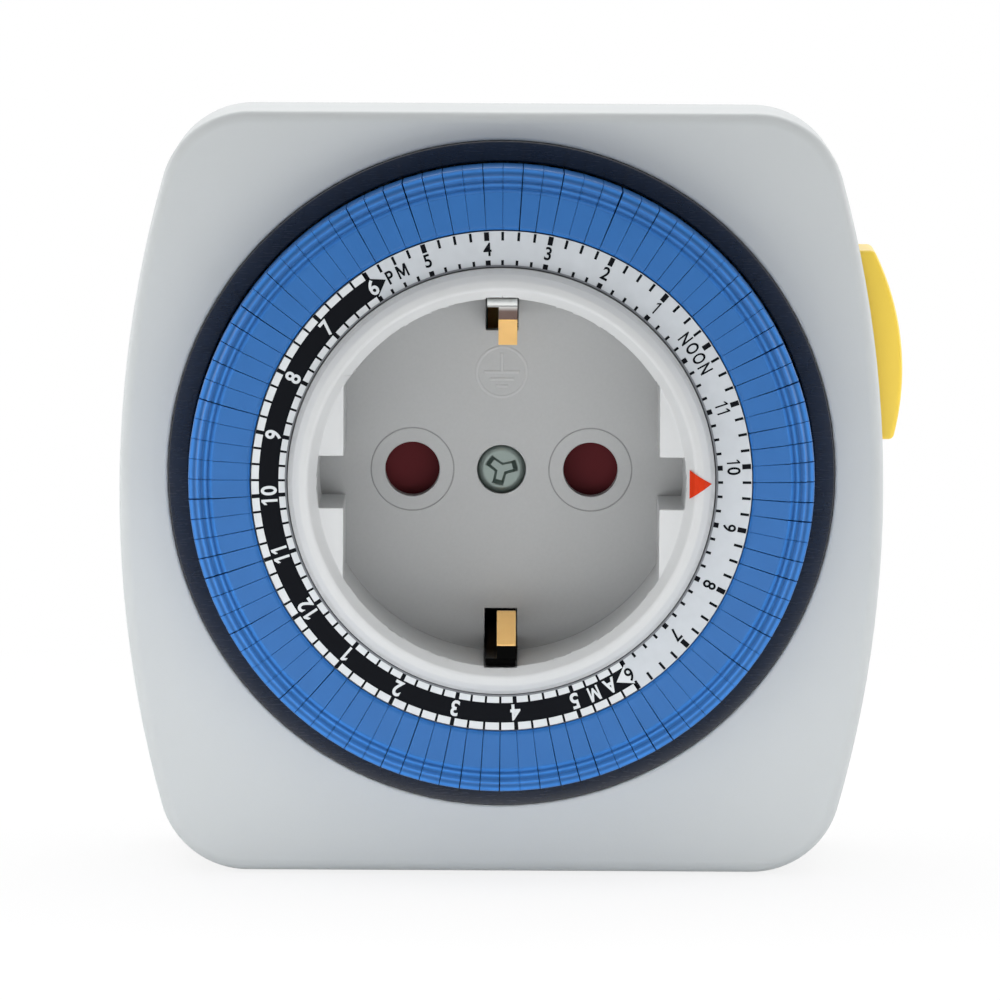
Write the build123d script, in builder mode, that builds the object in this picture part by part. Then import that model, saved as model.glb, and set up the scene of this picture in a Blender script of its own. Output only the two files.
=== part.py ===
"""Plug-in 24 hour timer switch with a front socket.

The front faces -Y, the plug pins point to +Y and +Z is up. The origin lies midway between
the plug pins, on the flat end of the plug. Depths are written as distances ahead of that
flat end, so a depth of 51 lies at Y = -51. Angles run anticlockwise from +X as seen from
the front. All sizes are in millimetres.
"""
from build123d import *
import os
from math import acos, cos, pi, radians, sin, sqrt, tan

os.makedirs("parts", exist_ok=True)

# ---------------------------------------------------------------- driving dimensions
# Plug and socket, as the standard two-pin earthed plug has them
PIN_PITCH = 19.0
PIN_R = 2.4
PIN_LENGTH = 19.0
PIN_ROOT_R = 2.2
HOLE_R = 2.9
WELL_R = 19.4
WELL_FLAT = 16.6
WELL_DEPTH = 17.5
KEYWAY_REACH = 19.3
KEYWAY_W = 5.5
BOSS_R = 19.0
BOSS_FLAT = 16.2
SPIGOT_R = 1.1
SPIGOT_SEAT = 13.0
FLOOR_T = 2.5
HUB_R = 4.2
HUB_BACK = 38.0
SHUTTER_BACK = 41.0
SHUTTER_T = 1.6
BLOCK_BACK = 24.0
BLOCK_T = 16.6

# Depths ahead of the plug's flat end
CASE_BACK = 17.0
PARTING = 32.0
CASE_FACE = 51.0
DIAL_FACE = 60.0
CREST = 63.0
FLOOR = CREST - WELL_DEPTH

# Housing outline
CASE_HALF = 40.6
CASE_TOP = 38.4
CASE_BOTTOM = -42.6
SIDE_BOW_R = 125.0
CORNER_R = 9.5
WALL = 2.2
FRONT_EDGE = 1.2
BACK_EDGE = 2.4
SCREW_R = 1.35
SCREW_POST_R = 2.9
SCREW_HEAD_R = 2.35
SCREW_HEAD_T = 2.0
SCREW_SUNK = 6.0
SCREW_INSET = 10.9
SCREW_DROP = 6.2
REAR_DRAFT = 3.2

# Dial
COLLAR_R = 22.5
RING_IN = 22.8
RING_OUT = 26.25
TAPPET_IN = 26.45
TAPPET_OUT = 33.0
TAPPET_COUNT = 96
TAPPETS_AN_HOUR = 4
TAPPET_GAP = 0.14
TAPPET_BACK = 50.3
TAIL_IN = 28.3
TAIL_OUT = 30.6
TAIL_W = 1.0
TAIL_BACK = 44.7
FLANGE_BACK = 45.2
FLANGE_T = 2.0
BEZEL_IN = 33.45
BEZEL_OUT = 35.4
POINTER_TIME = 9.75

# Gear train: dial wheel, transfer gear, motor pinion
DIAL_TEETH = 96
DIAL_MODULE = 0.7
TRANSFER_PINION_TEETH = 12
TRANSFER_WHEEL_TEETH = 30
MOTOR_PINION_TEETH = 10
MOTOR_MODULE = 0.4
TRANSFER_ANGLE = -45.0
MOTOR_ANGLE = 195.0
PLATE_BACK = 40.2
PLATE_T = 1.2
PLATE_SCREW_R = 0.9
MOTOR_R = 9.0
MOTOR_BACK = 29.5
AXLE_R = 1.0
SHAFT_R = 0.75
CAN_T = 0.6
TRANSFER_BACK = 42.4
TRANSFER_WHEEL_T = 1.8
TRANSFER_NECK_T = 0.6
TRANSFER_PINION_T = 2.8
RUNNING = 0.05

# Override rocker
ROCKER_LOW = 3.4
ROCKER_HIGH = 23.6
ROCKER_CROWN_R = 28.4
ROCKER_CROWN_X = 14.3
ROCKER_CROWN_Z = 10.7
ROCKER_BACK = 34.5
ROCKER_FRONT = 45.5
ROCKER_PIVOT = (35.4, 13.5)
ROCKER_PIVOT_R = 1.5
ROCKER_INNER_X = 34.9

# Switch behind the dial, worked by the tails of the tappets
SWITCH_Z = 27.8
SWITCH_T = 7.2
SWITCH_LEFT = 5.0
SWITCH_RIGHT = 26.5
SWITCH_BACK = 26.0
SWITCH_FRONT = 35.7
LEVER_X = 23.5
LEVER_DEPTH = 38.6
LEVER_PIN_R = 0.75
NOSE_X = 9.5
NOSE_TIP = 44.4
PLUNGER_X = 17.5
PLUNGER_R = 1.3
PLUNGER_TOP = 38.4
TERMINAL_BACK = 23.6

# Metal strip
STRIP_T = 0.6
CLIP_T = 0.5
CLIP_W = 3.2
CLIP_TOP = 61.5
CLIP_WALL = 19.15
LEAF_X = -0.4
LEAF_W = 2.0
EARTH_BRIDGE = 20.3
RIVET_R = 0.8

# ---------------------------------------------------------------- derived places
PITCH_DEG = 360 / TAPPET_COUNT
CASE_MID = (CASE_TOP + CASE_BOTTOM) / 2
DIAL_PITCH_R = DIAL_TEETH * DIAL_MODULE / 2
TRANSFER_PINION_R = TRANSFER_PINION_TEETH * DIAL_MODULE / 2
TRANSFER_WHEEL_R = TRANSFER_WHEEL_TEETH * MOTOR_MODULE / 2
MOTOR_PINION_R = MOTOR_PINION_TEETH * MOTOR_MODULE / 2
LINE_OF_CENTRES = DIAL_PITCH_R + TRANSFER_PINION_R
TRANSFER_X = LINE_OF_CENTRES * cos(radians(TRANSFER_ANGLE))
TRANSFER_Z = LINE_OF_CENTRES * sin(radians(TRANSFER_ANGLE))
MOTOR_X = TRANSFER_X + (TRANSFER_WHEEL_R + MOTOR_PINION_R) * cos(radians(MOTOR_ANGLE))
MOTOR_Z = TRANSFER_Z + (TRANSFER_WHEEL_R + MOTOR_PINION_R) * sin(radians(MOTOR_ANGLE))
SCREWS = [
    (side * (CASE_HALF - SCREW_INSET), height)
    for side in (-1, 1)
    for height in (CASE_TOP - SCREW_DROP, CASE_BOTTOM + SCREW_DROP)
]
PLATE_SCREWS = [(33.3, -17.5), (6.5, -34.5)]
PINS = [(-PIN_PITCH / 2, 0), (PIN_PITCH / 2, 0)]

# Radial section: local x is the radius, local y the depth ahead of the plug face
SECTION = Plane(origin=(0, 0, 0), x_dir=(1, 0, 0), z_dir=(0, 0, -1))
# Side section: local x is the height, local y the depth ahead of the plug face
SIDE_SECTION = Plane(origin=(0, 0, 0), x_dir=(0, 0, 1), z_dir=(1, 0, 0))
# The dial's axis, turning anticlockwise as seen from the front
DIAL_AXIS = Axis((0, 0, 0), (0, -1, 0))


def ahead(depth):
    """Plane across the axis, a depth ahead of the plug's flat end, facing forward."""
    return Plane.XZ.offset(depth)


def across(x, z, depth):
    """Plane across the axis, a depth ahead of the plug's flat end, centred on a shaft."""
    return Plane(origin=(x, -depth, z), x_dir=(1, 0, 0), z_dir=(0, -1, 0))


def save(piece, name):
    piece.part.label = name
    export_step(piece.part, f"parts/{name}.step")


def hour_angle(hour):
    """Where an hour mark stands on the dial at rest."""
    return (hour - POINTER_TIME) * 360 / 24


# ---------------------------------------------------------------- shared outlines
def case_outline(inset=0.0):
    """Rounded square with bowed sides."""
    top = CASE_TOP - inset
    bottom = CASE_BOTTOM + inset
    half = CASE_HALF - inset
    bow = SIDE_BOW_R - inset
    corner = half - bow + sqrt(bow**2 - (top - CASE_MID) ** 2)
    with BuildSketch() as outline:
        with BuildLine():
            Line((-corner, top), (corner, top))
            ThreePointArc((corner, top), (half, CASE_MID), (corner, bottom))
            Line((corner, bottom), (-corner, bottom))
            ThreePointArc((-corner, bottom), (-half, CASE_MID), (-corner, top))
        make_face()
        fillet(outline.vertices(), radius=CORNER_R - inset)
    return outline.sketch


def plug_outline():
    """Round plug body with two flats, each with a guide rib."""
    with BuildSketch() as outline:
        Circle(BOSS_R)
        Rectangle(2 * BOSS_FLAT, 2 * BOSS_R, mode=Mode.INTERSECT)
        Rectangle(2 * (KEYWAY_REACH - 0.6), KEYWAY_W - 0.8)
    return outline.sketch


def involute_angle(radius, base_r):
    """Polar angle of an involute at a radius, from where it leaves its base circle."""
    if radius <= base_r:
        return 0.0
    roll = acos(base_r / radius)
    return tan(roll) - roll


def gear_outline(teeth, module, first_tooth_deg, flank_points, backlash=0.10,
                 addendum=0.9, dedendum=1.1):
    """Involute spur gear as a closed outline, with a tooth centred at the given angle."""
    pitch_r = teeth * module / 2
    base_r = pitch_r * cos(radians(20))
    tip_r = pitch_r + addendum * module
    root_r = pitch_r - dedendum * module
    half_pitch = pi / (2 * teeth) - backlash / (2 * pitch_r)
    rise = [root_r + (tip_r - root_r) * i / flank_points for i in range(flank_points + 1)]
    flank = [
        (r, half_pitch + involute_angle(pitch_r, base_r) - involute_angle(r, base_r))
        for r in rise
    ]
    points = []
    for tooth in range(teeth):
        middle = radians(first_tooth_deg + tooth * 360 / teeth)
        for r, half in flank:
            points.append((r * cos(middle - half), r * sin(middle - half)))
        for r, half in reversed(flank):
            points.append((r * cos(middle + half), r * sin(middle + half)))
    with BuildSketch() as outline:
        with BuildLine():
            Polyline(*points, close=True)
        make_face()
    return outline.sketch


def strip_section(points, bend_r, thickness=STRIP_T):
    """Section of a bent metal strip that runs through the points."""
    with BuildSketch() as section:
        with BuildLine():
            FilletPolyline(*points, radius=bend_r)
            offset(amount=thickness, side=Side.LEFT)
        make_face()
    return section.sketch


# ---------------------------------------------------------------- housing
def make_front_cover():
    """Moulded front shell: bowed outline, seat for the bezel, window for the rocker."""
    pivot_x, pivot_z = ROCKER_PIVOT
    window_low, window_high = ROCKER_LOW - 0.4, ROCKER_HIGH + 0.6
    window_back, window_front = ROCKER_BACK - 0.4, ROCKER_FRONT + 0.4
    with BuildPart() as cover:
        with BuildSketch(ahead(PARTING)):
            add(case_outline())
        extrude(amount=CASE_FACE - PARTING)
        chamfer(cover.faces().sort_by(Axis.Y)[0].edges(), length=FRONT_EDGE)
        with BuildSketch(ahead(PARTING)):
            add(case_outline(WALL))
        extrude(amount=CASE_FACE - WALL - PARTING, mode=Mode.SUBTRACT)
        # screw posts
        with BuildSketch(ahead(PARTING)):
            with Locations(*SCREWS):
                Circle(SCREW_POST_R)
        extrude(amount=CASE_FACE - WALL - PARTING)
        with BuildSketch(ahead(PARTING)):
            with Locations(*SCREWS):
                Circle(SCREW_R + RUNNING)
        extrude(amount=12, mode=Mode.SUBTRACT)
        # round opening and the stepped seat of the bezel
        with BuildSketch(ahead(CASE_FACE - WALL)):
            Circle(BEZEL_OUT - 1.0)
        extrude(amount=WALL, mode=Mode.SUBTRACT)
        with BuildSketch(ahead(CASE_FACE - 1.2)):
            Circle(BEZEL_OUT + 0.05)
        extrude(amount=1.2, mode=Mode.SUBTRACT)
        # window in the right-hand wall
        with BuildSketch(Plane.YZ.offset(30)):
            with Locations((-(window_back + window_front) / 2, (window_low + window_high) / 2)):
                Rectangle(window_front - window_back, window_high - window_low)
        extrude(amount=20, mode=Mode.SUBTRACT)
        # lugs that hold the rocker's trunnions
        for low, high in ((PARTING + 0.2, window_back), (window_front, CASE_FACE - WALL)):
            with BuildSketch(ahead(low)):
                with Locations((pivot_x + 0.7, pivot_z)):
                    Rectangle(4.6, 6.0)
            extrude(amount=high - low)
        with BuildSketch(ahead(PARTING)):
            with Locations(ROCKER_PIVOT):
                Circle(ROCKER_PIVOT_R + RUNNING)
        extrude(amount=CASE_FACE - WALL - PARTING, mode=Mode.SUBTRACT)
    save(cover, "front_cover")


def make_rear_housing():
    """Moulded rear shell with draft, carrying the plug body and every inner post."""
    floor_depth = CASE_BACK + WALL
    with BuildPart() as rear:
        with BuildSketch(ahead(PARTING)):
            add(case_outline())
        extrude(amount=-(PARTING - CASE_BACK), taper=REAR_DRAFT)
        chamfer(rear.faces().sort_by(Axis.Y)[-1].edges(), length=BACK_EDGE)
        with BuildSketch(ahead(PARTING)):
            add(case_outline(WALL))
        extrude(amount=-(PARTING - floor_depth), mode=Mode.SUBTRACT)
        # plug body, hollow towards the inside of the housing
        with BuildSketch(ahead(0)):
            add(plug_outline())
        extrude(amount=CASE_BACK + 0.5)
        chamfer(rear.faces().sort_by(Axis.Y)[-1].edges(), length=0.8)
        with BuildSketch(ahead(3.0)):
            Circle(BOSS_R - 2.7)
            Rectangle(2 * (BOSS_FLAT - 2.2), 28, mode=Mode.INTERSECT)
        extrude(amount=floor_depth, mode=Mode.SUBTRACT)
        # grooves and slots for the earth contacts of the plug, top and bottom
        for side in (-1, 1):
            with BuildSketch(ahead(1.2)):
                with Locations((0, side * (BOSS_R - 1.3))):
                    Rectangle(6.4, 3.0)
            extrude(amount=CASE_BACK - 1.2, mode=Mode.SUBTRACT)
            with BuildSketch(ahead(CASE_BACK - 1)):
                with Locations((0, side * 16.35)):
                    Rectangle(5.4, 1.5)
            extrude(amount=WALL + 2, mode=Mode.SUBTRACT)
        # seats of the two pins
        with BuildSketch(ahead(0)):
            with Locations(*PINS):
                Circle(PIN_ROOT_R)
        extrude(amount=3.5, mode=Mode.SUBTRACT)
        # screw posts with sunk heads
        with BuildSketch(ahead(floor_depth - 0.2)):
            with Locations(*SCREWS):
                Circle(SCREW_POST_R)
        extrude(amount=PARTING - floor_depth + 0.2)
        with BuildSketch(ahead(CASE_BACK - 1)):
            with Locations(*SCREWS):
                Circle(SCREW_R + 0.15)
        extrude(amount=PARTING, mode=Mode.SUBTRACT)
        with BuildSketch(ahead(CASE_BACK - 1)):
            with Locations(*SCREWS):
                Circle(SCREW_HEAD_R + 0.15)
        extrude(amount=SCREW_SUNK + 1, mode=Mode.SUBTRACT)
        # posts of the gear plate
        with BuildSketch(ahead(floor_depth - 0.2)):
            with Locations(*PLATE_SCREWS):
                Circle(PLATE_SCREW_R + 1.3)
        extrude(amount=PLATE_BACK - floor_depth + 0.2)
        with BuildSketch(ahead(PLATE_BACK - 8)):
            with Locations(*PLATE_SCREWS):
                Circle(PLATE_SCREW_R + RUNNING)
        extrude(amount=8, mode=Mode.SUBTRACT)
        # ribs under the contact block and the switch
        with BuildSketch(ahead(floor_depth - 0.2)):
            with Locations((-15.3, 0), (15.3, 0)):
                Rectangle(1.6, 9)
        extrude(amount=BLOCK_BACK - floor_depth + 0.2)
        with BuildSketch(ahead(floor_depth - 0.2)):
            with Locations((SWITCH_LEFT + 1.2, SWITCH_Z + 1), (SWITCH_RIGHT - 3, SWITCH_Z)):
                Rectangle(1.4, 5.5)
        extrude(amount=SWITCH_BACK - floor_depth + 0.2)
    save(rear, "rear_housing")


def make_bezel_ring():
    """Glossy dark ring round the dial, with a skirt that holds the dial's flange down."""
    with BuildPart() as bezel:
        with BuildSketch(SECTION):
            with BuildLine():
                Polyline(
                    (BEZEL_IN, FLANGE_BACK + FLANGE_T + 0.4),
                    (BEZEL_OUT - 1.1, FLANGE_BACK + FLANGE_T + 0.4),
                    (BEZEL_OUT - 1.1, CASE_FACE - 1.2),
                    (BEZEL_OUT, CASE_FACE - 1.2),
                    (BEZEL_OUT, CASE_FACE + 0.25),
                    (BEZEL_IN, CASE_FACE - 0.3),
                    close=True,
                )
            make_face()
        revolve(axis=Axis.Y)
    save(bezel, "bezel_ring")


def make_housing_screws():
    """Four long screws that go in from the back and hold the two shells together."""
    with BuildPart() as screws:
        with BuildSketch(ahead(CASE_BACK + SCREW_SUNK)):
            with Locations(*SCREWS):
                Circle(SCREW_R)
        extrude(amount=20)
        with BuildSketch(ahead(CASE_BACK + SCREW_SUNK - SCREW_HEAD_T)):
            with Locations(*SCREWS):
                Circle(SCREW_HEAD_R)
        extrude(amount=SCREW_HEAD_T)
    save(screws, "housing_screws")


# ---------------------------------------------------------------- socket
def collar_section(shift=0.0):
    """Slopes of the collar from its outer edge up to the crest."""
    return [
        (COLLAR_R + shift, 60.2),
        (22.0 + shift * 0.8, 61.8 + shift * 0.6),
        (21.3 + shift * 0.3, 62.7 + shift),
        (20.6, CREST + shift),
    ]


def make_pointer():
    """Red time pointer: a triangle let into the collar's crest, standing a hair proud."""
    with BuildPart() as pointer:
        with BuildSketch(SECTION):
            with BuildLine():
                lead_in = [(20.3, CREST + 0.08), (19.7, 62.3), (19.7, 61.8), (20.2, CREST - 0.35)]
                sunk = list(reversed(collar_section(-0.35)))
                Polyline(*collar_section(0.08), *lead_in, *sunk, close=True)
            make_face()
        revolve(axis=Axis.Y)
        with BuildSketch(ahead(60)):
            with BuildLine():
                Polyline((19.75, -1.5), (22.1, 0), (19.75, 1.5), close=True)
            make_face()
        extrude(amount=4, mode=Mode.INTERSECT)
    save(pointer, "time_pointer")
    return pointer.part


def make_socket_insert(pointer):
    """Collar, well and floor of the socket in one moulding, with flats and keyways."""
    with BuildPart() as insert:
        with BuildSketch(SECTION):
            with BuildLine():
                well = [(20.3, CREST), (WELL_R, CREST - 1.3), (WELL_R, FLOOR), (0, FLOOR)]
                hub = [(0, HUB_BACK), (HUB_R, HUB_BACK), (HUB_R, FLOOR - FLOOR_T)]
                Polyline(*collar_section(), *well, *hub, (COLLAR_R, FLOOR - FLOOR_T), close=True)
            make_face()
        revolve(axis=Axis.Y)
        # the two flats of the well stop a little below the crest
        with BuildSketch(ahead(FLOOR)):
            Circle(WELL_R + 0.2)
            Rectangle(2 * WELL_FLAT, 3 * WELL_R, mode=Mode.SUBTRACT)
        extrude(amount=WELL_DEPTH - 1.0)
        with BuildSketch(ahead(FLOOR)):
            Rectangle(2 * KEYWAY_REACH, KEYWAY_W)
        extrude(amount=WELL_DEPTH, mode=Mode.SUBTRACT)
        # pin holes
        with BuildSketch(ahead(FLOOR - FLOOR_T)):
            with Locations(*PINS):
                Circle(HOLE_R)
        extrude(amount=FLOOR_T, mode=Mode.SUBTRACT)
        # screw hole with its recess
        with BuildSketch(ahead(FLOOR - 1.0)):
            Circle(2.55)
        extrude(amount=1.0, mode=Mode.SUBTRACT)
        with BuildSketch(ahead(HUB_BACK)):
            Circle(SCREW_R + 0.15)
        extrude(amount=FLOOR - HUB_BACK, mode=Mode.SUBTRACT)
        # slots in the floor and grooves up the wall for the earth clips
        for side in (-1, 1):
            with BuildSketch(ahead(FLOOR - FLOOR_T)):
                with Locations((0, side * 17.5)):
                    Rectangle(CLIP_W + 0.4, 5.2)
            extrude(amount=FLOOR_T, mode=Mode.SUBTRACT)
            with BuildSketch(ahead(FLOOR - FLOOR_T)):
                with Locations((0, side * 18.9)):
                    Rectangle(CLIP_W + 0.4, 2.0)
            extrude(amount=WELL_DEPTH + FLOOR_T - 0.7, mode=Mode.SUBTRACT)
        add(pointer, mode=Mode.SUBTRACT)
    save(insert, "socket_insert")


def make_socket_screw():
    """Screw in the middle of the socket, with a three-winged recess."""
    with BuildPart() as screw:
        with BuildSketch(ahead(FLOOR - 1.0)):
            Circle(2.5)
        extrude(amount=0.85)
        chamfer(screw.faces().sort_by(Axis.Y)[0].edges(), length=0.25)
        with BuildSketch(ahead(31.0)):
            Circle(SCREW_R)
        extrude(amount=FLOOR - 1.0 - 31.0)
        with BuildSketch(ahead(FLOOR - 0.75)):
            with PolarLocations(0.75, 3, start_angle=90):
                Rectangle(1.7, 0.5)
        extrude(amount=1, mode=Mode.SUBTRACT)
    save(screw, "socket_screw")


def make_contact_block():
    """Insulating block behind the socket floor, with a pocket for each contact."""
    with BuildPart() as block:
        with BuildSketch(ahead(BLOCK_BACK)):
            RectangleRounded(32, 16, 4)
        extrude(amount=BLOCK_T)
        with BuildSketch(ahead(BLOCK_BACK)):
            with Locations(*PINS):
                Rectangle(8.6, 7.4)
        extrude(amount=BLOCK_T, mode=Mode.SUBTRACT)
        with BuildSketch(ahead(HUB_BACK)):
            Circle(HUB_R + 0.2)
        extrude(amount=3, mode=Mode.SUBTRACT)
        with BuildSketch(ahead(28.0)):
            Circle(SCREW_R + RUNNING)
        extrude(amount=11, mode=Mode.SUBTRACT)
    save(block, "contact_block")


def make_shutter():
    """Child-safety shutter that turns on the insert's boss, and its return leaf."""
    with BuildPart() as shutter:
        with BuildSketch(ahead(SHUTTER_BACK)):
            with Locations(*PINS):
                Circle(HOLE_R + 0.6)
            Rectangle(PIN_PITCH, 5.2)
            Circle(HUB_R + 1.8)
            Circle(HUB_R + RUNNING, mode=Mode.SUBTRACT)
        extrude(amount=SHUTTER_T)
    save(shutter, "shutter")
    with BuildPart() as leaf:
        with BuildSketch(ahead(SHUTTER_BACK + 0.2)):
            add(strip_section([(3.5, 12.0), (7.5, 9.0), (10.5, 3.75)], 3.0, thickness=0.25))
        extrude(amount=1.2)
        with BuildSketch(ahead(40.6)):
            with Locations((3.2, 12.2)):
                Circle(0.8)
        extrude(amount=FLOOR - FLOOR_T - 40.6)
    save(leaf, "shutter_spring")


# ---------------------------------------------------------------- current path
def make_pins():
    """Two solid plug pins, shouldered on the plug's face, with a riveting spigot."""
    for name, side in (("neutral_pin", -1), ("line_pin", 1)):
        with BuildPart() as pin:
            with BuildSketch(ahead(-PIN_LENGTH)):
                with Locations((side * PIN_PITCH / 2, 0)):
                    Circle(PIN_R)
            extrude(amount=PIN_LENGTH)
            chamfer(pin.faces().sort_by(Axis.Y)[-1].edges(), length=1.5, length2=1.0)
            steps = (
                (0, 3.2, PIN_ROOT_R),
                (3.2, SPIGOT_SEAT, 1.9),
                (SPIGOT_SEAT, SPIGOT_SEAT + STRIP_T + 1.0, SPIGOT_R),
            )
            for low, high, radius in steps:
                with BuildSketch(ahead(low)):
                    with Locations((side * PIN_PITCH / 2, 0)):
                        Circle(radius)
                extrude(amount=high - low)
        save(pin, name)


def tulip_section():
    """Section of the pair of spring leaves that grip a plug pin."""
    leaf = [(-3.3, 40.0), (-2.9, 36.5), (-3.6, 30.0), (-3.6, 26.6)]
    return strip_section(leaf + [(-x, depth) for x, depth in reversed(leaf)], 0.7, 0.5)


def make_contacts():
    """Neutral contact on its pin, line contact on the switch, line feed from its pin."""
    half_strip = 2.0
    with BuildPart() as neutral:
        with BuildSketch(Plane(origin=(-PIN_PITCH / 2, 0, 0), x_dir=(1, 0, 0), z_dir=(0, 0, -1))):
            add(tulip_section())
        extrude(amount=3.0, both=True)
        with BuildSketch(SIDE_SECTION.offset(-PIN_PITCH / 2)):
            add(strip_section([(-2.4, SPIGOT_SEAT), (3.0, SPIGOT_SEAT), (3.0, 26.6)], 0.8))
        extrude(amount=half_strip, both=True)
        with BuildSketch(ahead(SPIGOT_SEAT - 1)):
            with Locations(PINS[0]):
                Circle(SPIGOT_R)
        extrude(amount=3, mode=Mode.SUBTRACT)
    save(neutral, "neutral_contact")
    with BuildPart() as line:
        with BuildSketch(Plane(origin=(PIN_PITCH / 2, 0, 0), x_dir=(1, 0, 0), z_dir=(0, 0, -1))):
            add(tulip_section())
        extrude(amount=3.0, both=True)
        with BuildSketch(SIDE_SECTION.offset(PIN_PITCH / 2)):
            add(strip_section([(2.4, 26.6), (2.4, 22.5), (25.9, 22.5), (25.9, 25.2)], 0.8))
        extrude(amount=half_strip, both=True)
    save(line, "line_contact")
    with BuildPart() as feed:
        with BuildSketch(SIDE_SECTION.offset(PIN_PITCH / 2)):
            path = [(-2.4, SPIGOT_SEAT), (4.2, SPIGOT_SEAT), (4.2, 20.3), (30.4, 20.3), (30.4, 25.2)]
            add(strip_section(path, 0.8))
        extrude(amount=half_strip, both=True)
        with BuildSketch(ahead(SPIGOT_SEAT - 1)):
            with Locations(PINS[1]):
                Circle(SPIGOT_R)
        extrude(amount=3, mode=Mode.SUBTRACT)
    save(feed, "line_feed")


def make_front_earth_strap():
    """Sprung earth contact of the socket: two hairpin clips joined behind the contacts."""
    wall_leg = [(17.6, CLIP_TOP), (CLIP_WALL, CLIP_TOP), (CLIP_WALL, EARTH_BRIDGE)]
    leaf = [(18.4, CLIP_TOP + CLIP_T), (17.4, CLIP_TOP + CLIP_T), (14.3, 56.0), (16.4, 47.2)]
    with BuildPart() as strap:
        with BuildSketch(SIDE_SECTION.offset(-CLIP_W / 2)):
            other_side = [(-z, depth) for z, depth in reversed(wall_leg)]
            add(strip_section(wall_leg + other_side, 0.6, CLIP_T))
        extrude(amount=CLIP_W)
        with BuildSketch(SIDE_SECTION.offset(LEAF_X)):
            add(strip_section(leaf, 0.6, CLIP_T))
            mirror(about=Plane.YZ)
        extrude(amount=LEAF_W)
        with BuildSketch(ahead(EARTH_BRIDGE - 1)):
            Circle(RIVET_R)
        extrude(amount=2, mode=Mode.SUBTRACT)
    save(strap, "front_earth_strap")


def make_rear_earth_strap():
    """Sprung earth contact of the plug, bowed outwards in the plug's two grooves."""
    leg = [(-16.3, 3.0), (-17.7, 6.5), (-16.3, 11.0), (-16.3, CASE_BACK + WALL)]
    with BuildPart() as strap:
        with BuildSketch(SIDE_SECTION.offset(-2.5)):
            other_side = [(-z, depth) for z, depth in reversed(leg)]
            add(strip_section(leg + other_side, 0.6))
        extrude(amount=5.0)
        with BuildSketch(ahead(CASE_BACK)):
            Circle(RIVET_R)
        extrude(amount=8, mode=Mode.SUBTRACT)
    save(strap, "rear_earth_strap")


def make_earth_rivet():
    """Rivet that joins the two earth contacts where they cross the housing."""
    bridge = CASE_BACK + WALL
    shank = EARTH_BRIDGE - bridge
    with BuildPart() as rivet:
        for low, high, radius in ((-0.7, 0, 1.5), (0, shank, RIVET_R), (shank, shank + 0.7, 1.5)):
            with BuildSketch(ahead(bridge + low)):
                Circle(radius)
            extrude(amount=high - low)
    save(rivet, "earth_rivet")


# ---------------------------------------------------------------- switch
def make_switch():
    """Small snap switch with its terminals, plunger and a follower lever on top."""
    length = SWITCH_RIGHT - SWITCH_LEFT
    middle = (SWITCH_LEFT + SWITCH_RIGHT) / 2
    with BuildPart() as case:
        with BuildSketch(ahead(SWITCH_BACK)):
            with Locations((middle, SWITCH_Z)):
                Rectangle(length, SWITCH_T)
        extrude(amount=SWITCH_FRONT - SWITCH_BACK)
        chamfer(case.edges().filter_by(Axis.Y), length=0.6)
        for side in (-1, 1):
            with BuildSketch(ahead(SWITCH_FRONT)):
                with Locations((LEVER_X, SWITCH_Z + side * (SWITCH_T / 2 - 0.5))):
                    Rectangle(3.2, 1.0)
            extrude(amount=LEVER_DEPTH + 1.6 - SWITCH_FRONT)
        with BuildSketch(Plane.XY.offset(SWITCH_Z - SWITCH_T)):
            with Locations((LEVER_X, -LEVER_DEPTH)):
                Circle(LEVER_PIN_R)
        extrude(amount=2 * SWITCH_T, mode=Mode.SUBTRACT)
        with BuildSketch(ahead(SWITCH_FRONT - 4)):
            with Locations((PLUNGER_X, SWITCH_Z)):
                Circle(PLUNGER_R + RUNNING)
        extrude(amount=5, mode=Mode.SUBTRACT)
    save(case, "switch_case")
    with BuildPart() as terminals:
        for z in (26.15, 30.65):
            with BuildSketch(ahead(TERMINAL_BACK)):
                with Locations((PIN_PITCH / 2, z)):
                    Rectangle(3.2, 0.5)
            extrude(amount=SWITCH_BACK - TERMINAL_BACK)
    save(terminals, "switch_terminals")
    with BuildPart() as plunger:
        with BuildSketch(ahead(SWITCH_FRONT - 2.0)):
            with Locations((PLUNGER_X, SWITCH_Z)):
                Circle(PLUNGER_R)
        extrude(amount=PLUNGER_TOP - SWITCH_FRONT + 2.0)
        chamfer(plunger.faces().sort_by(Axis.Y)[0].edges(), length=0.4)
    save(plunger, "switch_plunger")
    make_switch_lever()
    with BuildPart() as pin:
        with BuildSketch(Plane.XY.offset(SWITCH_Z - SWITCH_T / 2 - 0.2)):
            with Locations((LEVER_X, -LEVER_DEPTH)):
                Circle(LEVER_PIN_R)
        extrude(amount=SWITCH_T + 0.4)
    save(pin, "lever_pin")


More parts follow.
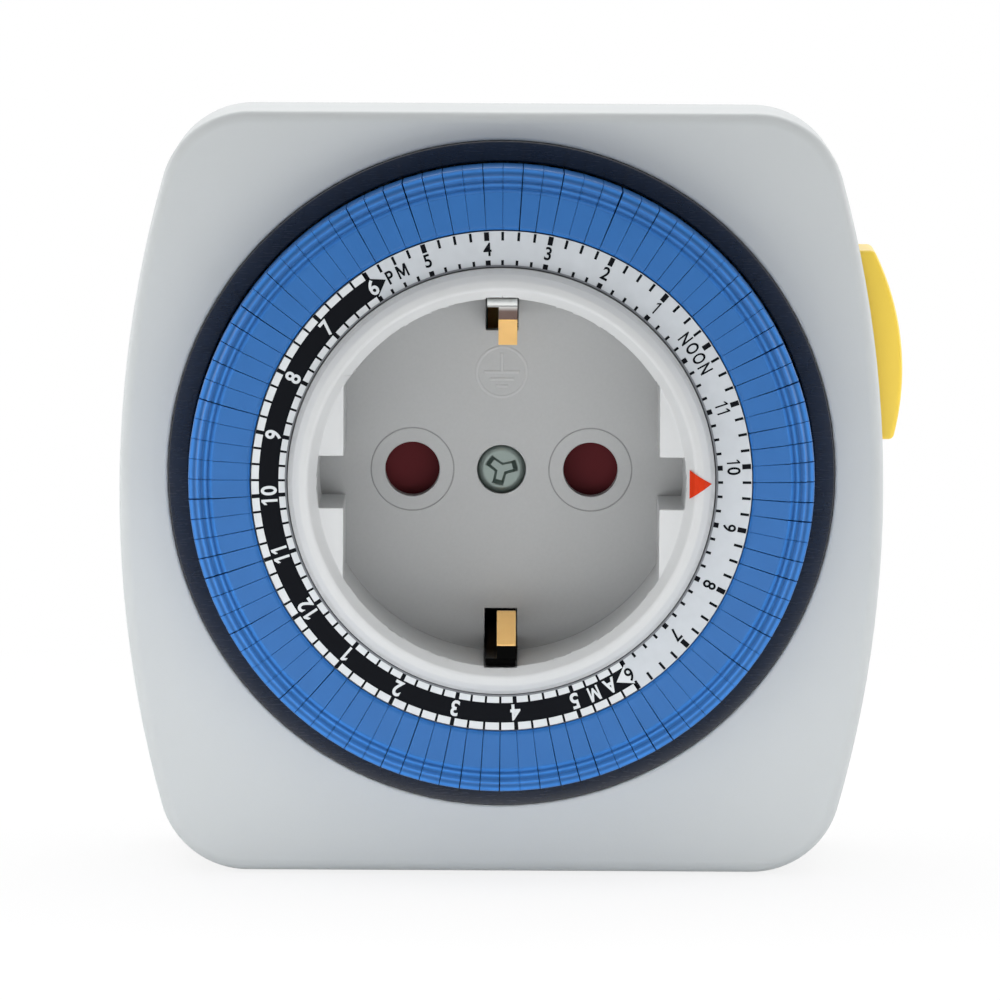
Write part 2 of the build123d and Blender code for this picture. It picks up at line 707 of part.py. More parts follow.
def make_switch_lever():
    """Follower lever: hub on its pin, slim arm, rounded nose under the tappet tails."""
    over = Plane(origin=(0, 0, SWITCH_Z), x_dir=(1, 0, 0), z_dir=(0, 0, -1))
    with BuildPart() as lever:
        with BuildSketch(over):
            with BuildLine():
                Polyline(
                    (LEVER_X + 4.1, LEVER_DEPTH - 0.3),
                    (LEVER_X + 4.1, LEVER_DEPTH + 0.8),
                    (LEVER_X, LEVER_DEPTH + 1.3),
                    (NOSE_X + 3.0, 40.5),
                    (NOSE_X + 1.0, NOSE_TIP - 0.8),
                )
                RadiusArc((NOSE_X + 1.0, NOSE_TIP - 0.8), (NOSE_X - 1.0, NOSE_TIP - 0.8), -1.28)
                Polyline(
                    (NOSE_X - 1.0, NOSE_TIP - 0.8),
                    (NOSE_X - 1.6, 39.6),
                    (LEVER_X, LEVER_DEPTH - 0.3),
                    (LEVER_X + 4.1, LEVER_DEPTH - 0.3),
                )
            make_face()
            with Locations((LEVER_X, LEVER_DEPTH)):
                Circle(1.6)
                Circle(LEVER_PIN_R + RUNNING, mode=Mode.SUBTRACT)
        extrude(amount=1.5, both=True)
    save(lever, "switch_lever")


def make_rocker():
    """Yellow override rocker: crowned cap, trunnions and the arm towards the switch."""
    crown_top = ROCKER_CROWN_X + sqrt(ROCKER_CROWN_R**2 - (ROCKER_HIGH - ROCKER_CROWN_Z) ** 2)
    crown_low = ROCKER_CROWN_X + sqrt(ROCKER_CROWN_R**2 - (ROCKER_LOW - ROCKER_CROWN_Z) ** 2)
    with BuildPart() as rocker:
        with BuildSketch(ahead(ROCKER_BACK)):
            with BuildLine():
                Line((ROCKER_INNER_X + 1.2, ROCKER_HIGH), (crown_top, ROCKER_HIGH))
                ThreePointArc(
                    (crown_top, ROCKER_HIGH),
                    (ROCKER_CROWN_X + ROCKER_CROWN_R, ROCKER_CROWN_Z),
                    (crown_low, ROCKER_LOW),
                )
                Polyline(
                    (crown_low, ROCKER_LOW),
                    (ROCKER_INNER_X + 1.4, ROCKER_LOW),
                    (ROCKER_INNER_X, ROCKER_LOW + 4),
                    (ROCKER_INNER_X, ROCKER_HIGH - 6),
                    (ROCKER_INNER_X + 1.2, ROCKER_HIGH),
                )
            make_face()
        extrude(amount=ROCKER_FRONT - ROCKER_BACK)
        low_edge = rocker.edges().filter_by(Axis.Y).group_by(Axis.Z)[0].sort_by(Axis.X)[-1]
        fillet(low_edge, radius=1.2)
        with BuildSketch(ahead(ROCKER_BACK - 1.9)):
            with Locations(ROCKER_PIVOT):
                Circle(ROCKER_PIVOT_R)
        extrude(amount=ROCKER_FRONT - ROCKER_BACK + 3.8)
        with BuildSketch(ahead(36.4)):
            with BuildLine():
                Polyline(
                    (35.4, 16.5),
                    (36.0, 21.5),
                    (32.0, 28.2),
                    (28.4, 28.2),
                    (28.4, 25.6),
                    (30.6, 25.6),
                    (34.4, 16.5),
                    close=True,
                )
            make_face()
        extrude(amount=1.5)
    save(rocker, "override_rocker")


# ---------------------------------------------------------------- drive
def make_motor():
    """Synchronous motor: steel can, coil, and the rotor with its pinion."""
    shaft = across(MOTOR_X, MOTOR_Z, 0)
    with BuildPart() as can:
        with BuildSketch(shaft.offset(MOTOR_BACK)):
            Circle(MOTOR_R)
        extrude(amount=PLATE_BACK - MOTOR_BACK)
        chamfer(can.faces().sort_by(Axis.Y)[-1].edges(), length=0.5)
        with BuildSketch(shaft.offset(MOTOR_BACK + CAN_T)):
            Circle(MOTOR_R - CAN_T)
        extrude(amount=PLATE_BACK, mode=Mode.SUBTRACT)
        with BuildSketch(shaft.offset(MOTOR_BACK - 1)):
            Circle(SHAFT_R + RUNNING)
        extrude(amount=3, mode=Mode.SUBTRACT)
    save(can, "motor_can")
    with BuildPart() as coil:
        with BuildSketch(shaft.offset(MOTOR_BACK + CAN_T)):
            Circle(MOTOR_R - CAN_T)
            Circle(4.9, mode=Mode.SUBTRACT)
        extrude(amount=8.6)
    save(coil, "motor_coil")
    with BuildPart() as rotor:
        with BuildSketch(shaft.offset(MOTOR_BACK + 2 * CAN_T)):
            Circle(4.2)
        extrude(amount=8)
        with BuildSketch(shaft.offset(MOTOR_BACK - 0.3)):
            Circle(SHAFT_R)
        extrude(amount=44.6 - MOTOR_BACK + 0.3)
        with BuildSketch(shaft.offset(42.2)):
            first = MOTOR_ANGLE + 180 + 180 / MOTOR_PINION_TEETH
            add(gear_outline(MOTOR_PINION_TEETH, MOTOR_MODULE, first, 3, backlash=0.08))
        extrude(amount=2.2)
    save(rotor, "motor_rotor")


def make_gear_plate():
    """Steel plate that carries the motor and the transfer gear's axle."""
    with BuildPart() as plate:
        with BuildSketch(ahead(PLATE_BACK)):
            with Locations((MOTOR_X, MOTOR_Z)):
                Circle(MOTOR_R)
            with Locations((TRANSFER_X, TRANSFER_Z)):
                Circle(5)
            with Locations(*PLATE_SCREWS):
                Circle(2.6)
            make_hull()
            with Locations(*SCREWS):
                Circle(SCREW_POST_R + 0.4, mode=Mode.SUBTRACT)
        extrude(amount=PLATE_T)
        for x, z, radius in (
            (MOTOR_X, MOTOR_Z, SHAFT_R + RUNNING),
            (TRANSFER_X, TRANSFER_Z, AXLE_R),
            (*PLATE_SCREWS[0], PLATE_SCREW_R + RUNNING),
            (*PLATE_SCREWS[1], PLATE_SCREW_R + RUNNING),
        ):
            with BuildSketch(ahead(PLATE_BACK)):
                with Locations((x, z)):
                    Circle(radius)
            extrude(amount=PLATE_T, mode=Mode.SUBTRACT)
    save(plate, "gear_plate")
    with BuildPart() as screws:
        with BuildSketch(ahead(PLATE_BACK - 6)):
            with Locations(*PLATE_SCREWS):
                Circle(PLATE_SCREW_R)
        extrude(amount=6 + PLATE_T)
        with BuildSketch(ahead(PLATE_BACK + PLATE_T)):
            with Locations(*PLATE_SCREWS):
                Circle(1.7)
                Rectangle(2.2, 0.4, mode=Mode.SUBTRACT)
        extrude(amount=1.0)
    save(screws, "plate_screws")


def make_transfer_gear():
    """Compound gear between the motor pinion and the dial wheel, on a fixed axle."""
    shaft = across(TRANSFER_X, TRANSFER_Z, 0)
    neck_back = TRANSFER_BACK + TRANSFER_WHEEL_T
    pinion_back = neck_back + TRANSFER_NECK_T
    with BuildPart() as gear:
        with BuildSketch(shaft.offset(TRANSFER_BACK)):
            add(gear_outline(TRANSFER_WHEEL_TEETH, MOTOR_MODULE, MOTOR_ANGLE, 2, backlash=0.08))
        extrude(amount=TRANSFER_WHEEL_T)
        with BuildSketch(shaft.offset(neck_back)):
            Circle(2.6)
        extrude(amount=TRANSFER_NECK_T)
        with BuildSketch(shaft.offset(pinion_back)):
            first = TRANSFER_ANGLE + 180 + 180 / TRANSFER_PINION_TEETH
            add(gear_outline(TRANSFER_PINION_TEETH, DIAL_MODULE, first, 3))
        extrude(amount=TRANSFER_PINION_T)
        with BuildSketch(shaft.offset(42.0)):
            Circle(AXLE_R + RUNNING)
        extrude(amount=6, mode=Mode.SUBTRACT)
    save(gear, "transfer_gear")
    with BuildPart() as axle:
        with BuildSketch(shaft.offset(PLATE_BACK)):
            Circle(AXLE_R)
        extrude(amount=48.4 - PLATE_BACK)
    save(axle, "transfer_axle")


# ---------------------------------------------------------------- dial
def make_dial_carrier():
    """Dial wheel: hub tube, seat of the number ring, slotted flange with gear teeth."""
    with BuildPart() as carrier:
        with BuildSketch(ahead(FLANGE_BACK)):
            add(gear_outline(DIAL_TEETH, DIAL_MODULE, 0, 1))
            Circle(RING_IN, mode=Mode.SUBTRACT)
            with PolarLocations((TAIL_IN + TAIL_OUT) / 2, TAPPET_COUNT, start_angle=PITCH_DEG / 2):
                Rectangle(TAIL_OUT - TAIL_IN + 0.4, TAIL_W + 0.3, mode=Mode.SUBTRACT)
        extrude(amount=FLANGE_T)
        with BuildSketch(ahead(FLANGE_BACK + FLANGE_T)):
            Circle(RING_IN + 1.2)
            Circle(RING_IN, mode=Mode.SUBTRACT)
        extrude(amount=DIAL_FACE - 0.8 - FLANGE_BACK - FLANGE_T)
        with BuildSketch(ahead(DIAL_FACE - 2.4)):
            Circle(RING_OUT - 0.05)
            Circle(RING_IN, mode=Mode.SUBTRACT)
        extrude(amount=1.6)
    save(carrier, "dial_carrier")


def make_number_ring():
    """Printed ring with the hours, set into the front of the dial wheel."""
    with BuildPart() as ring:
        with BuildSketch(ahead(DIAL_FACE - 0.8)):
            Circle(RING_OUT)
            Circle(RING_IN, mode=Mode.SUBTRACT)
        extrude(amount=0.8)
    save(ring, "number_ring")


def make_tappet():
    """One quarter-hour tappet: wedge-shaped finger with grip ridges, and its tail."""
    half_pitch = radians(PITCH_DEG / 2)
    with BuildPart() as tappet:
        with BuildSketch(SECTION):
            with BuildLine():
                Polyline(
                    (TAPPET_IN, TAPPET_BACK),
                    (TAPPET_IN, DIAL_FACE),
                    (30.2, DIAL_FACE),
                    (30.75, DIAL_FACE - 0.55),
                    (31.1, DIAL_FACE - 0.3),
                    (31.5, DIAL_FACE - 0.7),
                    (32.0, DIAL_FACE - 0.45),
                    (TAPPET_OUT, DIAL_FACE - 1.3),
                    (TAPPET_OUT, TAPPET_BACK),
                    close=True,
                )
            make_face()
        extrude(amount=2.0, both=True)
        for side in (-1, 1):
            normal = (-sin(half_pitch), 0, side * cos(half_pitch))
            edge = Plane(
                origin=tuple(-TAPPET_GAP / 2 * n for n in normal),
                z_dir=normal,
                x_dir=(0, 1, 0),
            )
            split(bisect_by=edge, keep=Keep.BOTTOM)
        with BuildSketch(ahead(TAIL_BACK)):
            with Locations(((TAIL_IN + TAIL_OUT) / 2, 0)):
                Rectangle(TAIL_OUT - TAIL_IN, TAIL_W)
        extrude(amount=TAPPET_BACK - TAIL_BACK)
    return tappet.part


def make_tappets():
    """Ninety-six tappets, four to a node, one node for each hour of the dial."""
    tappet = make_tappet()
    for hour in range(TAPPET_COUNT // TAPPETS_AN_HOUR):
        with BuildPart() as group:
            for quarter in range(TAPPETS_AN_HOUR):
                add(tappet.rotate(DIAL_AXIS, hour_angle(hour) + (quarter + 0.5) * PITCH_DEG))
        save(group, f"tappets_{hour:02d}h")


make_front_cover()
make_rear_housing()
make_bezel_ring()
make_housing_screws()
make_socket_insert(make_pointer())
make_socket_screw()
make_contact_block()
make_shutter()
make_pins()
make_contacts()
make_front_earth_strap()
make_rear_earth_strap()
make_earth_rivet()
make_switch()
make_rocker()
make_motor()
make_gear_plate()
make_transfer_gear()
make_dial_carrier()
make_number_ring()
make_tappets()
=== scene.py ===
"""Looks of the plug-in timer switch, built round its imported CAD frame.

The front faces -Y, the plug pins point to +Y and +Z is up. Sizes are written in
millimetres: a point is given as across (x), up (z) and the depth ahead of the plug's
flat end, so a depth of 51 lies at Y = -51 mm. Angles run anticlockwise from +X as seen
from the front, in degrees.
"""

import random
from math import atan2, cos, degrees, hypot, pi, radians, sin, sqrt, tan

import bmesh
import bpy
from mathutils import Matrix, Vector


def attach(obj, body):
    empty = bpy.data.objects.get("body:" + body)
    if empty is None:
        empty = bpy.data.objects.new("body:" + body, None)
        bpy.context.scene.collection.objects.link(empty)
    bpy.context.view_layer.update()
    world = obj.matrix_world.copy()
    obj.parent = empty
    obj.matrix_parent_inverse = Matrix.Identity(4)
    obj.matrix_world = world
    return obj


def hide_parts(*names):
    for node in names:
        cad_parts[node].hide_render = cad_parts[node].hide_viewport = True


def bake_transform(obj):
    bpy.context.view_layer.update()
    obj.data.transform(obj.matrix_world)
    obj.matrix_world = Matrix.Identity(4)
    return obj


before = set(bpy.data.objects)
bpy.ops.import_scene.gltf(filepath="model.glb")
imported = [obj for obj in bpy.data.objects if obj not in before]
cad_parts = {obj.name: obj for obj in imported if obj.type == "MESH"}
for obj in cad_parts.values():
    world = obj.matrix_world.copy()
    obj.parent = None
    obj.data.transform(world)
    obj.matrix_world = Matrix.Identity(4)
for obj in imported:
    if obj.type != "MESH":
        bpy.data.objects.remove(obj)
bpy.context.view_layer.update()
MM = 0.001
SHARP = radians(35)

# ------------------------ sizes, in millimetres
# Depths ahead of the plug's flat end
CASE_BACK = 17.0
PARTING = 32.0
SOCKET_FLOOR = 45.5
CASE_FACE = 51.0
DIAL_FACE = 60.0
CREST = 63.0

# Points round the large circles, how far a cutter goes past what it cuts, and how deep
# a post is rooted in its floor
ROUND_STEPS = 192
THROUGH = 1.0
ROOTED = 0.2

# Housing
CASE_HALF = 40.6
CASE_TOP = 38.4
CASE_BOTTOM = -42.6
CASE_MID = (CASE_TOP + CASE_BOTTOM) / 2
SIDE_BOW_R = 125.0
CORNER_R = 9.5
WALL = 2.2
REAR_DRAFT = 3.2
FRONT_ROUND = 1.3
BACK_ROUND = 2.4
SEAM = 0.06
SCREW_X = 29.7
SCREW_Z = (CASE_TOP - 6.2, CASE_BOTTOM + 6.2)
SCREWS = [(x, z) for x in (-SCREW_X, SCREW_X) for z in SCREW_Z]
SCREW_POST_R = 2.9
SCREW_WELL_R = 2.5
SCREW_WELL_DEPTH = 6
SCREW_HOLE_R = 1.5
SCREW_HEAD = CASE_BACK + 4
SCREW_HEAD_HEIGHT = 2
SCREW_HEAD_R = 2.35
SCREW_TOP_R = 1.9
SCREW_SHANK_R = 1.35
SCREW_END = 43.0
CROSS_RECESS = (1.35, 0.3)
PLATE_SCREWS = [(33.3, -17.5), (6.5, -34.5)]
PLATE_POST_R = 2.2
PLATE_LEVEL = 40.2

# Plug body: groove and slot of an earth contact as (half width, inner side, outer side)
PLUG_R = 19.0
PLUG_FLAT = 16.2
PLUG_RIB = (18.7, 2.35)
PLUG_ROUND = 0.8
PLUG_WALL = 2.7
PLUG_FLAT_WALL = 2.2
PLUG_END_WALL = 3.0
EARTH_GROOVE = (3.2, PLUG_R - 2.8, PLUG_R + 0.2)
EARTH_GROOVE_FROM = 1.2
STRAP_SLOT = (2.7, 15.6, 17.1)
PIN_X = 9.5
PIN_SEAT_R = 2.2
PIN_SEAT_DEPTH = 3.5

# Socket
HOLE_R = 2.9
WELL_R = 19.4
WELL_FLAT = 16.6
KEYWAY_Z = 2.75
FLOOR_PLATE = 2.5
COLLAR_R = 22.5
CLIP_SLOT = (14.9, 17.9, 19.5)
CLIP_SLOT_HALF = 1.72
CLIP_LEG = [(18.5, 61.75), (19.15, 61.75), (19.15, 20.3)]
CLIP_LEAF = [(18.6, 61.75), (17.4, 61.75), (14.3, 56.0), (16.4, 47.2)]
CLIP_HALF = 1.6
CLIP_LEAF_LEFT = -0.4
CLIP_FOLD_FROM = 17.2
# Heights over which the clip's upper fold goes from painted shade to a painted highlight
CLIP_FOLD_HIGHLIGHT = (18.1, 18.7)
CLIP_REACH = 20
STRIP_THICKNESS = 0.5
STRIP_BEND = 0.6

# Screw in the socket's floor: a wing of its recess as (out, aside) points, narrow end first
SMALL_SCREW_R = 2.56
SMALL_SCREW_SEAT_R = 2.6
SMALL_SCREW_TOP_R = 1.9
SMALL_SCREW_FACE = SOCKET_FLOOR - 0.15
SMALL_SCREW_SEAT = SOCKET_FLOOR - 1
SMALL_SCREW_END = 31.0
SMALL_SHANK_R = 1.35
WING_ANGLES = (144, 14, -104)
WING_FLOOR = [(-0.3, -0.42), (1.2, -0.34), (1.2, 0.34), (-0.3, 0.42)]
WING_LIP = [(-0.3, -0.66), (1.75, -0.6), (1.75, 0.6), (-0.3, 0.66)]
WING_DEPTH = 0.6

# Lines on the socket's floor: a bar of the earth sign is (rise, half width, half height)
HOLE_RING_R = 4.42
HOLE_RING_HALF = 0.06
EARTH_SIGN_Z = 10.4
EARTH_SIGN_R = 2.65
EARTH_SIGN_HALF = 0.13
EARTH_SIGN_BARS = [(1.0, 0.0, 0.9), (0.0, 1.75, 0.0), (-0.75, 1.15, 0.0), (-1.5, 0.5, 0.0)]

# Shutter's return leaf: root, bend and tip as (x, z)
LEAF_ROOT = (3.5, 12.0)
LEAF_BEND = (7.5, 9.0)
LEAF_TIP = (10.5, 3.75)
LEAF_HALF = 0.125
LEAF_DEPTHS = (41.2, 42.4)
LEAF_POST = (3.2, 12.2)
LEAF_POST_R = 0.8
LEAF_POST_BACK = 40.6

# Dial: a tail is (inner side, outer side, back), a painted ridge highlight (radius, half width)
RING_IN = 22.8
RING_OUT = 26.38
RING_THICKNESS = 0.8
LIP_BACK = 56.0
TAPPET_IN = 26.45
TAPPET_OUT = 33.0
TAPPET_BACK = 50.3
TAIL = (28.3, 30.6, 44.7)
TAIL_HALF = 0.5
HOURS = 24
TAPPETS_AN_HOUR = 4
TAPPET_COUNT = HOURS * TAPPETS_AN_HOUR
QUARTER = 360 / TAPPET_COUNT
POINTER_TIME = 9.75
# Painted highlights on the fingers' ridges, inner edge and rim, and lines of painted shade in the
# grooves between the ridges
RIDGE_HIGHLIGHTS = [(26.55, 0.09), (30.62, 0.14), (31.25, 0.1), (32.05, 0.1), (32.75, 0.14)]
GROOVE_SHADES = [30.92, 31.62, 32.4]
GROOVE_SHADE_HALF = 0.1
RIDGE_DEPTH = 1.4

# Bezel and its seat in the front cover
BEZEL_IN = 33.2
BEZEL_OUT = 35.4
BEZEL_FOOT_R = 34.3
BEZEL_BACK = 47.6
BEZEL_SEAT_R = BEZEL_OUT + 0.05
BEZEL_SEAT_DEPTH = 1.2
BEZEL_LEDGE_R = BEZEL_OUT - 1.0
SEAT_CHAMFER = 0.15

# Rocker: crown's centre and radius, height, depth, inner face, axis and arm
ROCKER_CROWN = (14.3, 10.7, 28.4)
ROCKER_Z = (3.4, 23.6)
ROCKER_DEPTH = (34.5, 45.5)
ROCKER_INNER = 34.9
ROCKER_AXIS = (35.4, 13.5)
TRUNNION_R = 1.5
TRUNNION_LENGTH = 1.9
ROCKER_ARM = [
    (35.4, 16.5), (36.0, 21.5), (32.0, 28.2), (28.4, 28.2),
    (28.4, 25.6), (30.6, 25.6), (34.4, 16.5),
]
ROCKER_ARM_DEPTH = (36.4, 37.9)
WINDOW_GAP = 0.35
WINDOW_GAP_ABOVE = 0.45


# ------------------------ shader building
class Wire:
    """An output of a shader node, for Python expressions on values."""

    def __init__(self, shader, socket):
        self.shader = shader
        self.socket = socket

    def __add__(self, other):
        return self.shader.maths("ADD", self, other)

    def __radd__(self, other):
        return self.shader.maths("ADD", other, self)

    def __sub__(self, other):
        return self.shader.maths("SUBTRACT", self, other)

    def __rsub__(self, other):
        return self.shader.maths("SUBTRACT", other, self)

    def __mul__(self, other):
        return self.shader.maths("MULTIPLY", self, other)

    def __rmul__(self, other):
        return self.shader.maths("MULTIPLY", other, self)

    def __gt__(self, other):
        return self.shader.maths("GREATER_THAN", self, other)

    def __lt__(self, other):
        return self.shader.maths("LESS_THAN", self, other)


class Shader:
    """A node tree, with one method that adds any node."""

    def __init__(self, tree):
        self.tree = tree
        self.tree.nodes.clear()

    def node(self, kind, settings=None, sockets=None, output=0):
        made = self.tree.nodes.new(kind)
        for name, value in (settings or {}).items():
            if name == "stops":
                self.set_stops(made.color_ramp, value)
            else:
                setattr(made, name, value)
        for key, value in (sockets or {}).items():
            if isinstance(value, Wire):
                self.tree.links.new(value.socket, made.inputs[key])
            else:
                made.inputs[key].default_value = value
        return Wire(self, made.outputs[output]) if made.outputs else None

    def set_stops(self, ramp, stops):
        """Grey stops of a colour ramp, as (place, value)."""
        while len(ramp.elements) < len(stops):
            ramp.elements.new(0.5)
        for element, (place, value) in zip(ramp.elements, stops):
            element.position = place
            element.color = (value, value, value, 1)

    def place(self):
        """Position on the piece, in metres."""
        return self.node("ShaderNodeTexCoord", output=3)

    def noise(self, size, detail=2.0, stretch=(1, 1, 1)):
        """Soft noise with spots of a size in millimetres, stretched along the axes."""
        where = self.node("ShaderNodeMapping", sockets={0: self.place(), 3: stretch})
        sockets = {"Vector": where, "Scale": 1 / (size * MM), "Detail": detail}
        return self.node("ShaderNodeTexNoise", sockets=sockets)

    def ramp(self, value, *stops):
        return self.node("ShaderNodeValToRGB", {"stops": stops}, {0: value})

    def mix(self, share, first, second):
        return self.node("ShaderNodeMix", {"data_type": "RGBA"}, {0: share, 6: first, 7: second}, 2)

    def either(self, share, first, second):
        """Mix of two surfaces or of two lights."""
        return self.node("ShaderNodeMixShader", sockets={0: share, 1: first, 2: second})

    def axis(self, index):
        """One coordinate on the piece, in millimetres."""
        metres = self.node("ShaderNodeSeparateXYZ", sockets={0: self.place()}, output=index)
        return metres * (1 / MM)

    def maths(self, operation, *values):
        return self.node("ShaderNodeMath", {"operation": operation}, dict(enumerate(values)))

    def off(self, value, middle):
        return self.maths("ABSOLUTE", value - middle)

    def most(self, first, second):
        return self.maths("MAXIMUM", first, second)

    def least(self, first, second):
        return self.maths("MINIMUM", first, second)

    def length(self, first, second):
        return self.maths("SQRT", first * first + second * second)

    def tone(self, share, colour, swing):
        """A colour that swings between a little darker and a little lighter."""
        return self.mix(share, shade(colour, 1 - swing), shade(colour, 1 + swing))

    def stroke(self, distance, half_width):
        """One on a line and nothing beside it, from the distance to its middle in millimetres."""
        settings = {"operation": "MULTIPLY_ADD", "use_clamp": True}
        return self.node("ShaderNodeMath", settings, {0: distance, 1: -1 / half_width, 2: 1.5})

    def white_rays(self):
        """One for rays from the camera, in gloss and through glass, to which all is white."""
        paths = [self.node("ShaderNodeLightPath", output=output) for output in (0, 3, 6)]
        return paths[0] + paths[1] + paths[2] > 0.5

    def bump(self, height, depth):
        """Relief of a depth in millimetres, from a height between 0 and 1."""
        sockets = {"Strength": 1, "Distance": depth * MM, "Height": height}
        return self.node("ShaderNodeBump", sockets=sockets)


class Finish(Shader):
    """A material, and the record's slot that it belongs to."""

    def __init__(self, name, slot):
        self.slot = slot
        self.material = bpy.data.materials.new(name)
        self.material.use_nodes = True
        super().__init__(self.material.node_tree)

    def uneven(self, roughness, broad, fine):
        """Roughness that wanders a little with a broad and a fine noise."""
        return roughness + (broad - 0.5) * 0.10 + (fine - 0.5) * 0.12

    def surface(self, sockets):
        principled = self.node("ShaderNodeBsdfPrincipled", sockets=sockets)
        self.node("ShaderNodeOutputMaterial", sockets={0: principled})
        return self


def srgb(red, green, blue):
    """Linear colour of a screen colour given from 0 to 255."""
    linear = []
    for part in (red, green, blue):
        part /= 255
        linear.append(part / 12.92 if part <= 0.04045 else ((part + 0.055) / 1.055) ** 2.4)
    return (*linear, 1.0)


def shade(colour, share):
    """A colour made darker or lighter."""
    return (*(part * share for part in colour[:3]), 1.0)


# ------------------------ finishes
def moulded(name, slot, colour, roughness, flow=0.03, shine=0.5):
    """Moulded plastic: faint flow marks in the tone and a fine eroded grain."""
    finish = Finish(name, slot)
    marks = finish.noise(14, 3)
    fine = finish.noise(0.3, 2)
    return finish.surface({
        "Base Color": finish.tone(marks, colour, flow),
        "Roughness": finish.uneven(roughness, marks, fine),
        "Specular IOR Level": shine,
        "Normal": finish.bump(fine, 0.006),
    })


def marked_and_shaded_floor(name, slot, colour, roughness):
    """Plastic of the socket, with the fine lines that are sunk into its floor, and painted light:
    the floor is painted darker as painted shade of the deep well, the grooves are painted dark as
    painted shade, and the earth sign is painted lighter as a painted highlight.
    """
    finish = Finish(name, slot)
    flow = finish.noise(14, 3)
    fine = finish.noise(0.3, 2)
    across, up = finish.axis(0), finish.axis(2)
    hole_rings = finish.off(finish.length(finish.off(across, 0) - PIN_X, up), HOLE_RING_R)
    sign = finish.off(finish.length(across, up - EARTH_SIGN_Z), EARTH_SIGN_R)
    for rise, half_width, half_height in EARTH_SIGN_BARS:
        aside = finish.off(across, 0) - half_width
        above = finish.off(up, EARTH_SIGN_Z + rise) - half_height
        sign = finish.least(sign, finish.most(aside, above))
    rings = finish.stroke(hole_rings, HOLE_RING_HALF)
    faint = finish.stroke(sign, EARTH_SIGN_HALF)
    # The well's floor is painted darker than the collar (0.74 of its colour): painted shade of the
    # deep well.
    sunk = finish.axis(1) > -(SOCKET_FLOOR + 0.4)
    collar, floor = finish.tone(flow, colour, 0.03), finish.tone(fine, shade(colour, 0.74), 0.04)
    plain = finish.mix(sunk, collar, floor)
    # The ring grooves round the pin holes are painted dark: painted shade in the grooves.
    drawn = finish.mix(rings * 0.6, plain, shade(colour, 0.35))
    return finish.surface({
        # The earth sign is painted lighter than the floor around it: a painted highlight on its
        # raised lines.
        "Base Color": finish.mix(faint * 0.5, drawn, shade(colour, 0.92)),
        "Roughness": finish.uneven(roughness, flow, fine),
        "Normal": finish.bump(fine * 0.003 - rings * 0.05 + faint * 0.05, 1.0),
    })


def ridged(name, slot, colour, roughness):
    """Moulded plastic of the dial's fingers, painted paler on ridges, inner edge and rim as painted
    highlights, and painted darker in the grooves as painted shade.
    """
    finish = Finish(name, slot)
    marks = finish.noise(4, 3)
    fine = finish.noise(0.35, 2)
    radius = finish.length(finish.axis(0), finish.axis(2))
    # Pale strokes: painted highlights on the ridges, inner edge and rim.
    pale = 0
    for middle, half_width in RIDGE_HIGHLIGHTS:
        pale = finish.most(pale, finish.stroke(finish.off(radius, middle), half_width))
    # Dark strokes: painted shade in the grooves between the ridges.
    deep = 0
    for middle in GROOVE_SHADES:
        deep = finish.most(deep, finish.stroke(finish.off(radius, middle), GROOVE_SHADE_HALF))
    on_top = finish.axis(1) < -(DIAL_FACE - RIDGE_DEPTH)
    plain = finish.tone(marks, colour, 0.07)
    groove_shaded = finish.mix(deep * on_top * 0.45, plain, shade(colour, 0.5))
    return finish.surface({
        "Base Color": finish.mix(pale * on_top * (0.3 + marks * 0.5), groove_shaded, shade(colour, 1.9)),
        "Roughness": finish.uneven(roughness, marks, fine),
        "Specular IOR Level": 0.2,
        "Normal": finish.bump(fine, 0.004),
    })


def gloss_black(name, slot, colour):
    """Polished dark plastic with faint handling smears and hairlines."""
    finish = Finish(name, slot)
    smears = finish.noise(6, 4)
    hairs = finish.ramp(finish.noise(1.2, 2, (1, 1, 9)), (0.58, 0), (0.64, 1))
    return finish.surface({
        "Base Color": finish.mix(smears, colour, shade(colour, 1.5)),
        "Roughness": 0.20 + smears * 0.10 + hairs * 0.05,
        "Normal": finish.bump(finish.noise(3.5, 1), 0.01),
        "Coat Weight": 0.4,
        "Coat Roughness": 0.16,
    })


def printed(name, colour, roughness, shine=0.15):
    """Ink on the dial's number ring, a little uneven."""
    finish = Finish(name, "dial_print")
    blots = finish.noise(1.5, 3)
    fine = finish.noise(0.2, 2)
    return finish.surface({
        "Base Color": finish.mix(blots, shade(colour, 0.93), shade(colour, 1.05)),
        "Roughness": roughness + (fine - 0.5) * 0.1,
        "Specular IOR Level": shine,
        "Normal": finish.bump(fine, 0.003),
    })


def metal(name, slot, colour, roughness, stretch=(1, 1, 1), grain=0.4, relief=0.004):
    """Rolled or turned metal: drawn grain, and a tone that wanders a little."""
    finish = Finish(name, slot)
    tone = finish.noise(5, 3)
    drawn = finish.noise(grain, 3, stretch)
    return finish.surface({
        "Base Color": finish.mix(tone, shade(colour, 0.9), colour),
        "Metallic": 1.0,
        "Roughness": roughness + (tone - 0.5) * 0.12 + (drawn - 0.5) * 0.14,
        "Normal": finish.bump(drawn, relief),
    })


